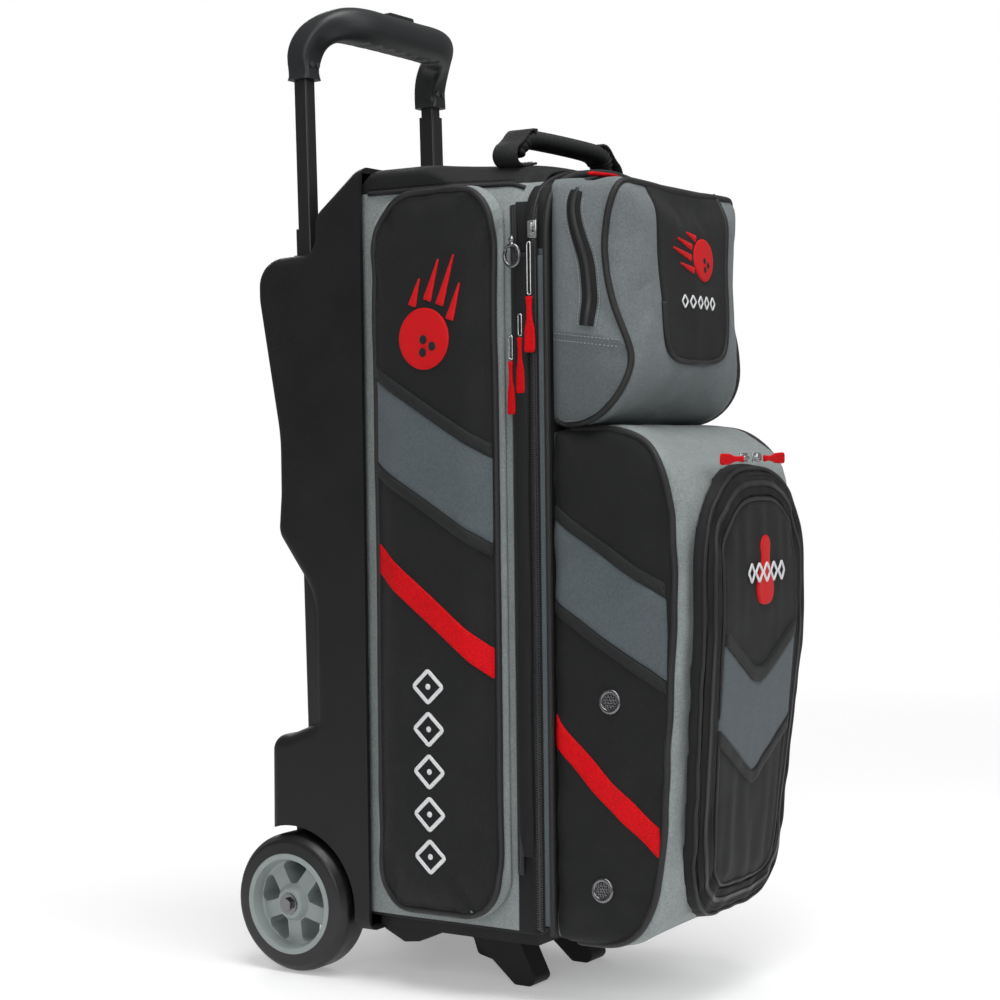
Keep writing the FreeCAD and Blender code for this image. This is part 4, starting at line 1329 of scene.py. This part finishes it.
shield = evenly(np.vstack([[(-67, 702)], [(-63, 640)], curve([(-60, 600), (-57, 562), (-44, 551),
                                                              (0, 549), (44, 551), (57, 562),
                                                              (60, 600)], 3.0),
                           [(63, 640)], [(67, 702)]]), 2.5, closed=True)
patch("accessory_shield", shield, upper, "front", black_cloth, "front_door", "black_fabric",
      thick=1.6)
shield_line = curve([(-59, 600), (-57, 566), (-46, 552), (0, 549), (46, 552), (57, 566), (60, 600),
                     (64, 670), (66, 701)], 2.5)
piping("accessory_shield_piping", shield_line, upper, "front", 2.4, "front_door", False, 1.2)
ball_emblem("accessory_emblem", upper, "front", 4, 642, 60, "front_door", 2.9, 2.0)
for number in range(5):
    at = -22 + number * 13
    stroke(f"accessory_mark_{number}", diamond(at, 602, 4.6, 5.5, 0.8, 1.0), upper, "front", 2.0,
           white_thread, "front_door", slot="grey_fabric", tall=1.2, lift=2.2)

for piece in side_pieces + door_pieces:
    mirrored(piece, piece.name.replace("left", "right") if "left" in piece.name
             else piece.name + "_right")


# ------------------------------------------------------------------ carry handle
def superellipse(wide, tall, power=3.0, sides=20):
    angles = np.linspace(0, TAU, sides, endpoint=False)
    c, s = np.cos(angles), np.sin(angles)
    return np.stack([wide * np.sign(c) * np.abs(c) ** (2 / power),
                     tall * np.sign(s) * np.abs(s) ** (2 / power)], 1)


handle_y = (carry_low[1] + carry_high[1]) / 2
handle_top = carry_high[2]
arch_line = curve([(-77, handle_top - 24), (-72, handle_top - 14), (-62, handle_top - 8.5),
                   (-30, handle_top - 7.5), (30, handle_top - 7.5), (62, handle_top - 8.5),
                   (72, handle_top - 14), (77, handle_top - 24)], 0.8)
travel = np.linspace(0, 1, len(arch_line))
ribs = 1 + 0.05 * np.clip(np.sin(travel * len(arch_line) * 0.8 * TAU / 5.2) * 3, -1, 1)
ribs *= 1 - 0.25 * (1 - ramp(travel, 0, 0.08)) - 0.25 * ramp(travel, 0.92, 1)
handle = tube("carry_handle_grip", at_depth(arch_line, handle_y), 1, rubber, "root",
              slot="soft_rubber", hint=square_to(arch_line), section=superellipse(12.4, 7.6, 2.6),
              scale=ribs)
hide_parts("carry_handle")
heap = Heap()
stitch_heap = Heap()
for sign in (-1, 1):
    foot = body.press([(sign * 62, handle_y), (sign * 84, handle_y)], "top")[0][:, 2] + 1.4
    line = curve([(sign * 60, foot[0]), (sign * 80, foot[1]), (sign * 90, foot[1] + 2),
                  (sign * 94, foot[1] + 9), (sign * 90, foot[1] + 17), (sign * 80, foot[1] + 22),
                  (sign * 68, handle_top - 1.6), (sign * 58, handle_top - 1.2)], 1.5)
    heap.add(*sweep_mesh(at_depth(line, handle_y), strap_section(25, 2.2, 0.6),
                         hint=square_to(line)))
    row = evenly([(sign * 62, handle_y - 9), (sign * 84, handle_y - 9), (sign * 84, handle_y + 9),
                  (sign * 62, handle_y + 9), (sign * 62, handle_y - 9)], 2.0)
    height = np.interp(row[:, 0] * sign, [62, 84], foot) + 1.2
    stitches(stitch_heap, np.stack([row[:, 0], row[:, 1], height], 1),
             steady(UP, len(row)), lift=0.4)
anchors = heap.make("carry_straps", black_web, "root", "black_fabric")
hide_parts("carry_anchors")
stitch_heap.make("carry_strap_stitches", black_thread, "root", "black_fabric")


# ------------------------------------------------------------------ sliders, pulls and hook
def rounded_block(heap, centre, lengths, radius=0.8):
    """Small block with rounded edges."""
    work = bmesh.new()
    bmesh.ops.create_cube(work, size=1)
    bmesh.ops.scale(work, vec=Vector(lengths), verts=work.verts)
    bmesh.ops.bevel(work, geom=work.edges[:], offset=radius, segments=2, affect="EDGES", profile=0.5)
    bmesh.ops.translate(work, vec=Vector(centre), verts=work.verts)
    work.verts.index_update()
    heap.add([tuple(v.co) for v in work.verts], [[v.index for v in face.verts] for face in work.faces])
    work.free()


def axes_by_size(node):
    """Centre, lengths, and the axes of a node's box from shortest to longest."""
    low, high = box_mm(node)
    lengths = high - low
    return (low + high) / 2, lengths, np.argsort(lengths)


def basis(axis, value=1.0):
    vector = np.zeros(3)
    vector[axis] = value
    return vector


def slider(name, node, body, outward, along):
    """Zip slider: shield, bridge and a rivet, inside the node's box."""
    centre, lengths, _ = axes_by_size(node)
    heap = Heap()
    out_axis = int(np.argmax(np.abs(outward)))
    along_axis = int(np.argmax(np.abs(along)))
    cross_axis = 3 - out_axis - along_axis
    tall = lengths[out_axis]

    def block(shift_out, shift_along, size_out, size_along, size_cross, shift_cross=0.0):
        at = centre + np.asarray(outward) * shift_out + np.asarray(along) * shift_along
        at[cross_axis] += shift_cross
        size = np.zeros(3)
        size[out_axis], size[along_axis], size[cross_axis] = size_out, size_along, size_cross
        rounded_block(heap, at, size, min(size) * 0.3)

    long, wide = lengths[along_axis], lengths[cross_axis]
    block(-0.28 * tall, 0, 0.34 * tall, long, wide)
    block(0.0, 0.22 * long, 0.3 * tall, 0.5 * long, 0.8 * wide)
    block(0.34 * tall, 0, 0.24 * tall, 0.62 * long, 0.34 * wide)
    block(0.12 * tall, 0.26 * long, 0.5 * tall, 0.16 * long, 0.34 * wide)
    block(0.12 * tall, -0.26 * long, 0.5 * tall, 0.16 * long, 0.34 * wide)
    piece = heap.make(name, bright_metal, body, "bright_metal")
    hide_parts(node)
    return piece


def wire_link(name, node, body, radius=0.85):
    """Long wire loop inside the node's box."""
    centre, lengths, order = axes_by_size(node)
    long, wide = int(order[2]), int(order[1])
    length, width = lengths[long] / 2 - radius, lengths[wide] / 2 - radius
    loop = rounded([(-width, -length, width * 0.95), (width, -length, width * 0.95),
                    (width, length, width * 0.95), (-width, length, width * 0.95)], 1.0)
    path = centre + np.outer(loop[:, 0], basis(wide)) + np.outer(loop[:, 1], basis(long))
    piece = tube(name, path, radius, bright_metal, body, True, "bright_metal",
                 steady(basis(int(order[0])), len(path)))
    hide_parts(node)
    return piece


def woven_tab(name, node, body, top_sign=1.0):
    """Red woven tab with a narrow neck and a stitched end, inside the node's box."""
    centre, lengths, order = axes_by_size(node)
    thin, wide, long = (int(k) for k in order)
    half = lengths[long] / 2
    count = 40
    place = np.linspace(-half + 0.4, half - 0.4, count)
    share = np.linspace(0, 1, count)
    width = np.interp(share, [0, 0.06, 0.42, 0.6, 0.8, 1.0], [0.8, 1.0, 0.9, 0.5, 0.42, 0.6])
    thick = np.interp(share, [0, 0.04, 0.45, 0.62, 0.95, 1.0], [0.5, 1.0, 0.8, 0.95, 1.0, 0.6])
    section = superellipse(1, 1, 3.4, 14)
    sway = 0.12 * lengths[thin] * np.sin(share * 5)
    rings = []
    for k in range(count):
        middle_point = centre + basis(long, place[k] * top_sign) + basis(thin, sway[k])
        rings.append(middle_point + np.outer(section[:, 0] * width[k] * lengths[wide] / 2, basis(wide))
                     + np.outer(section[:, 1] * thick[k] * lengths[thin] * 0.44, basis(thin)))
    around = len(section)
    faces = [(i * around + k, i * around + (k + 1) % around, (i + 1) * around + (k + 1) % around,
              (i + 1) * around + k) for i in range(count - 1) for k in range(around)]
    faces += [tuple(range(around - 1, -1, -1)), tuple((count - 1) * around + k for k in range(around))]
    piece = make(name, np.concatenate(rings), faces, red_web, body, "red_webbing")
    heap = Heap()
    for side in (-1, 1):
        for edge in (-0.3, 0.3):
            row = np.array([centre + basis(long, at * top_sign) + basis(wide, edge * lengths[wide])
                            + basis(thin, side * 0.36 * lengths[thin])
                            for at in np.linspace(-half + 2, -half + 0.4 * lengths[long], 12)])
            stitches(heap, row, steady(basis(thin, side), 12), pitch=2.6, length=1.7, radius=0.25,
                     lift=0.45)
    heap.make(f"{name}_stitches", red_thread, body, "red_webbing")
    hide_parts(node)
    return piece


slider("main_zip_slider", "main_slider", "main_slider", LEFT, UP)
for name in ("main_pull", "pocket_pull_upper", "pocket_pull_lower"):
    wire_link(f"{name}_wire", f"{name}_link", name)
    woven_tab(f"{name}_woven", f"{name}_tab", name)
for side in ("left", "right"):
    slider(f"flap_zip_slider_{side}", f"flap_slider_{side}", "front_door", FRONT,
           RIGHT if side == "right" else LEFT)
    woven_tab(f"flap_pull_woven_{side}", f"flap_pull_{side}", f"flap_pull_{side}",
              1.0 if side == "left" else -1.0)
slider("accessory_zip_slider", "upper_slider", "front_door", UP, LEFT)
woven_tab("accessory_pull_woven", "upper_pull", "upper_pull", -1.0)

hook_low, hook_high = box_mm("snap_hook")
hook_x = (hook_low[0] + hook_high[0]) / 2
hook_y = (hook_low[1] + hook_high[1]) / 2
hook_radius = (hook_high[1] - hook_low[1]) / 2 - 1.7
hook_z = hook_low[2] + hook_radius + 1.7
angles = np.radians(np.linspace(60, 395, 44))
heap = Heap()
bow = np.stack([np.full(44, hook_x), hook_y + hook_radius * 0.8 * np.cos(angles),
                hook_z + hook_radius * np.sin(angles)], 1)
heap.add(*sweep_mesh(bow, ring_section(1.65, 10), hint=steady(RIGHT, 44)))
gate = np.array([bow[0], 0.5 * (bow[0] + bow[-1]) + [0, 0.6, 0.3], bow[-1]])
heap.add(*sweep_mesh(gate, ring_section(1.0, 8), hint=steady(RIGHT, 3)))
barrel = np.array([(hook_x, hook_y, z) for z in np.linspace(hook_z + hook_radius - 1, hook_high[2], 16)])
swell = 1 + 0.25 * np.sin(np.linspace(0, 4 * math.pi, 16)) - 0.35 * (np.linspace(0, 1, 16) > 0.93)
heap.add(*sweep_mesh(barrel, ring_section(2.3, 14), hint=steady(RIGHT, 16), scale=swell))
hook = heap.make("lanyard_hook", dark_metal, "snap_hook", "dark_metal")
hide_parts("snap_hook")

# ------------------------------------------------------------------ inside: cradles and shelves
def lining_piece(name, node, voxel, seed=None):
    """Cloth-covered foam; a seed adds faint waves."""
    piece = solid_copy(name, node, voxel)
    relax(piece, 0.6, 4)
    if seed is not None:
        co, normal = get_points(piece), get_normals(piece)
        set_points(piece, co + normal * (0.6 * ripple(co, seed, 70))[:, None])
    refine(piece, lining_cloth, 0)
    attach(piece, "root")
    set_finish(piece, "ball_foam")
    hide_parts(node)


for number in (1, 2, 3):
    lining_piece(f"cradle_pad_{number}", f"ball_cradle_{number}", 6.0, 30 + number)
for number in (1, 2):
    lining_piece(f"shelf_pad_{number}", f"ball_shelf_{number}", 3.0)

# Cloth strip that hinges the door along the right side.
HINGE_ROWS, HINGE_COLUMNS = 60, 9
hinge = [(body_x + 0.9 + 0.9 * math.cos((y - seam_y) / 7) ** 2, y, z)
         for z in np.linspace(72, 684, HINGE_ROWS)
         for y in np.linspace(seam_y + 16, door_low[1] + 1.5, HINGE_COLUMNS)]
hinge_faces = [(start, start + 1, start + HINGE_COLUMNS + 1, start + HINGE_COLUMNS)
               for row in range(HINGE_ROWS - 1)
               for start in range(row * HINGE_COLUMNS, (row + 1) * HINGE_COLUMNS - 1)]
strip = make("door_hinge_strip", hinge, hinge_faces, side_cloth)
thicken = strip.modifiers.new("thick", "SOLIDIFY")
thicken.thickness = 1.2 * MM
thicken.offset = 1
bake(strip)
strip.data.shade_smooth()
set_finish(strip, "black_fabric")
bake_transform(strip)

# ------------------------------------------------------------------ hard parts kept from the frame
HARD = {
    shell_plastic: ["back_shell"],
    base_plastic: ["base_tray", "foot_left", "foot_right", "wheel_spacer_left",
                   "wheel_spacer_right"],
    tube_coating: [f"{stage}_tube_{side}" for stage in ("outer", "middle", "inner")
                    for side in ("left", "right")],
    grip_plastic: ["grip", "grip_button"],
    dark_metal: ["grip_screws", "axle_bolt_left", "axle_bolt_right"],
    steel: ["axle"],
    tyre_rubber: ["tyre_left", "tyre_right"],
    hub_plastic: ["hub_left", "hub_right"],
}
for material, nodes in HARD.items():
    for node in nodes:
        slots = frame["nodes"][node].data.materials
        if not slots:
            slots.append(material)
        for index in range(len(slots)):
            slots[index] = material


# ------------------------------------------------------------------ studio
def stage_floor():
    """Pale round floor that fades out into the white surroundings."""
    rings, around = 24, 72
    radii = np.linspace(0, 2600, rings)
    points = [(0, 0, -0.4)]
    for radius in radii[1:]:
        for step in range(around):
            angle = TAU * step / around
            points.append((radius * math.cos(angle), radius * math.sin(angle), -0.4))
    faces = [(0, 1 + k, 1 + (k + 1) % around) for k in range(around)]
    for ring in range(rings - 2):
        a, b = 1 + ring * around, 1 + (ring + 1) * around
        faces += [(a + k, b + k, b + (k + 1) % around, a + (k + 1) % around) for k in range(around)]
    graph = Graph("pale_floor", (0.86, 0.86, 0.86), 0.9, Specular_IOR_Level=0.1)
    graph.shader.inputs["Emission Color"].default_value = (1, 1, 1, 1)
    graph.shader.inputs["Emission Strength"].default_value = 0.3
    x, y, z = graph.split(graph.place.outputs["Object"])
    reach = graph.math("SQRT", graph.math("ADD", graph.math("MULTIPLY", x, x),
                                          graph.math("MULTIPLY", y, y)))
    graph.links.new(graph.remap(reach, 0.7, 2.3, 1.0, 0.0), graph.shader.inputs["Alpha"])
    make("floor", points, faces, graph.material)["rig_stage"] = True


def softbox(name, place, target, size, power, height):
    light = bpy.data.lights.new(name, "AREA")
    light.energy = power
    light.shape = "RECTANGLE"
    light.size = size
    light.size_y = height
    lamp = bpy.data.objects.new(name, light)
    scene.collection.objects.link(lamp)
    lamp.location = place
    lamp.rotation_euler = (Vector(target) - Vector(place)).to_track_quat("-Z", "Y").to_euler()


stage_floor()
middle = (cad_low + cad_high) / 2
for name, place, size, watts, height in (("key", (0.2, -2.6, 2.0), 1.6, 17, 1.6),
                                         ("overhead", (-0.5, -0.6, 2.6), 1.6, 44, 1.6),
                                         ("side_fill", (-2.7, -0.9, 1.5), 1.2, 22, 1.6),
                                         ("back_rim", (1.8, 2.2, 1.7), 1.2, 24, 1.2)):
    softbox(name, place, middle, size, watts, height)

world = bpy.data.worlds.new("studio")
scene.world = world
world.use_nodes = True
ambient = world.node_tree.nodes["Background"]
ambient.inputs["Color"].default_value = (1, 1, 1, 1)
ambient.inputs["Strength"].default_value = 0.22
backdrop = world.node_tree.nodes.new("ShaderNodeBackground")
backdrop.inputs["Color"].default_value = (1, 1, 1, 1)
backdrop.inputs["Strength"].default_value = 1.0
seen = world.node_tree.nodes.new("ShaderNodeLightPath")
blend = world.node_tree.nodes.new("ShaderNodeMixShader")
world.node_tree.links.new(seen.outputs["Is Camera Ray"], blend.inputs[0])
world.node_tree.links.new(ambient.outputs[0], blend.inputs[1])
world.node_tree.links.new(backdrop.outputs[0], blend.inputs[2])
world.node_tree.links.new(blend.outputs[0], world.node_tree.nodes["World Output"].inputs[0])
scene.view_settings.view_transform = "Standard"


CAMERA_PLACE = (-1.6414, -1.0308, 0.4774)
CAMERA_TURN, CAMERA_TIP, CAMERA_ROLL = 57.3, 1.4, -0.7
CAMERA_LENS = 76.07


def place_camera():
    """Camera beside the front left corner, at half the bag's height, tipped down slightly."""
    turn, tip, roll = (math.radians(angle) for angle in (CAMERA_TURN, CAMERA_TIP, CAMERA_ROLL))
    level = Vector((math.sin(turn), math.cos(turn), 0))
    forward = level * math.cos(tip) - Vector((0, 0, math.sin(tip)))
    across = Vector((math.cos(turn), -math.sin(turn), 0))
    upright = Vector((0, 0, math.cos(tip))) + level * math.sin(tip)
    right = across * math.cos(roll) + upright * math.sin(roll)
    up = upright * math.cos(roll) - across * math.sin(roll)
    lens = bpy.data.cameras.new("camera")
    lens.sensor_width = 36
    lens.lens = CAMERA_LENS
    lens.clip_start, lens.clip_end = 0.05, 60
    camera = bpy.data.objects.new("camera", lens)
    scene.collection.objects.link(camera)
    facing = Matrix((right, up, -forward)).transposed()
    camera.matrix_world = Matrix.Translation(CAMERA_PLACE) @ facing.to_4x4()
    scene.camera = camera


place_camera()
low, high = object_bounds()
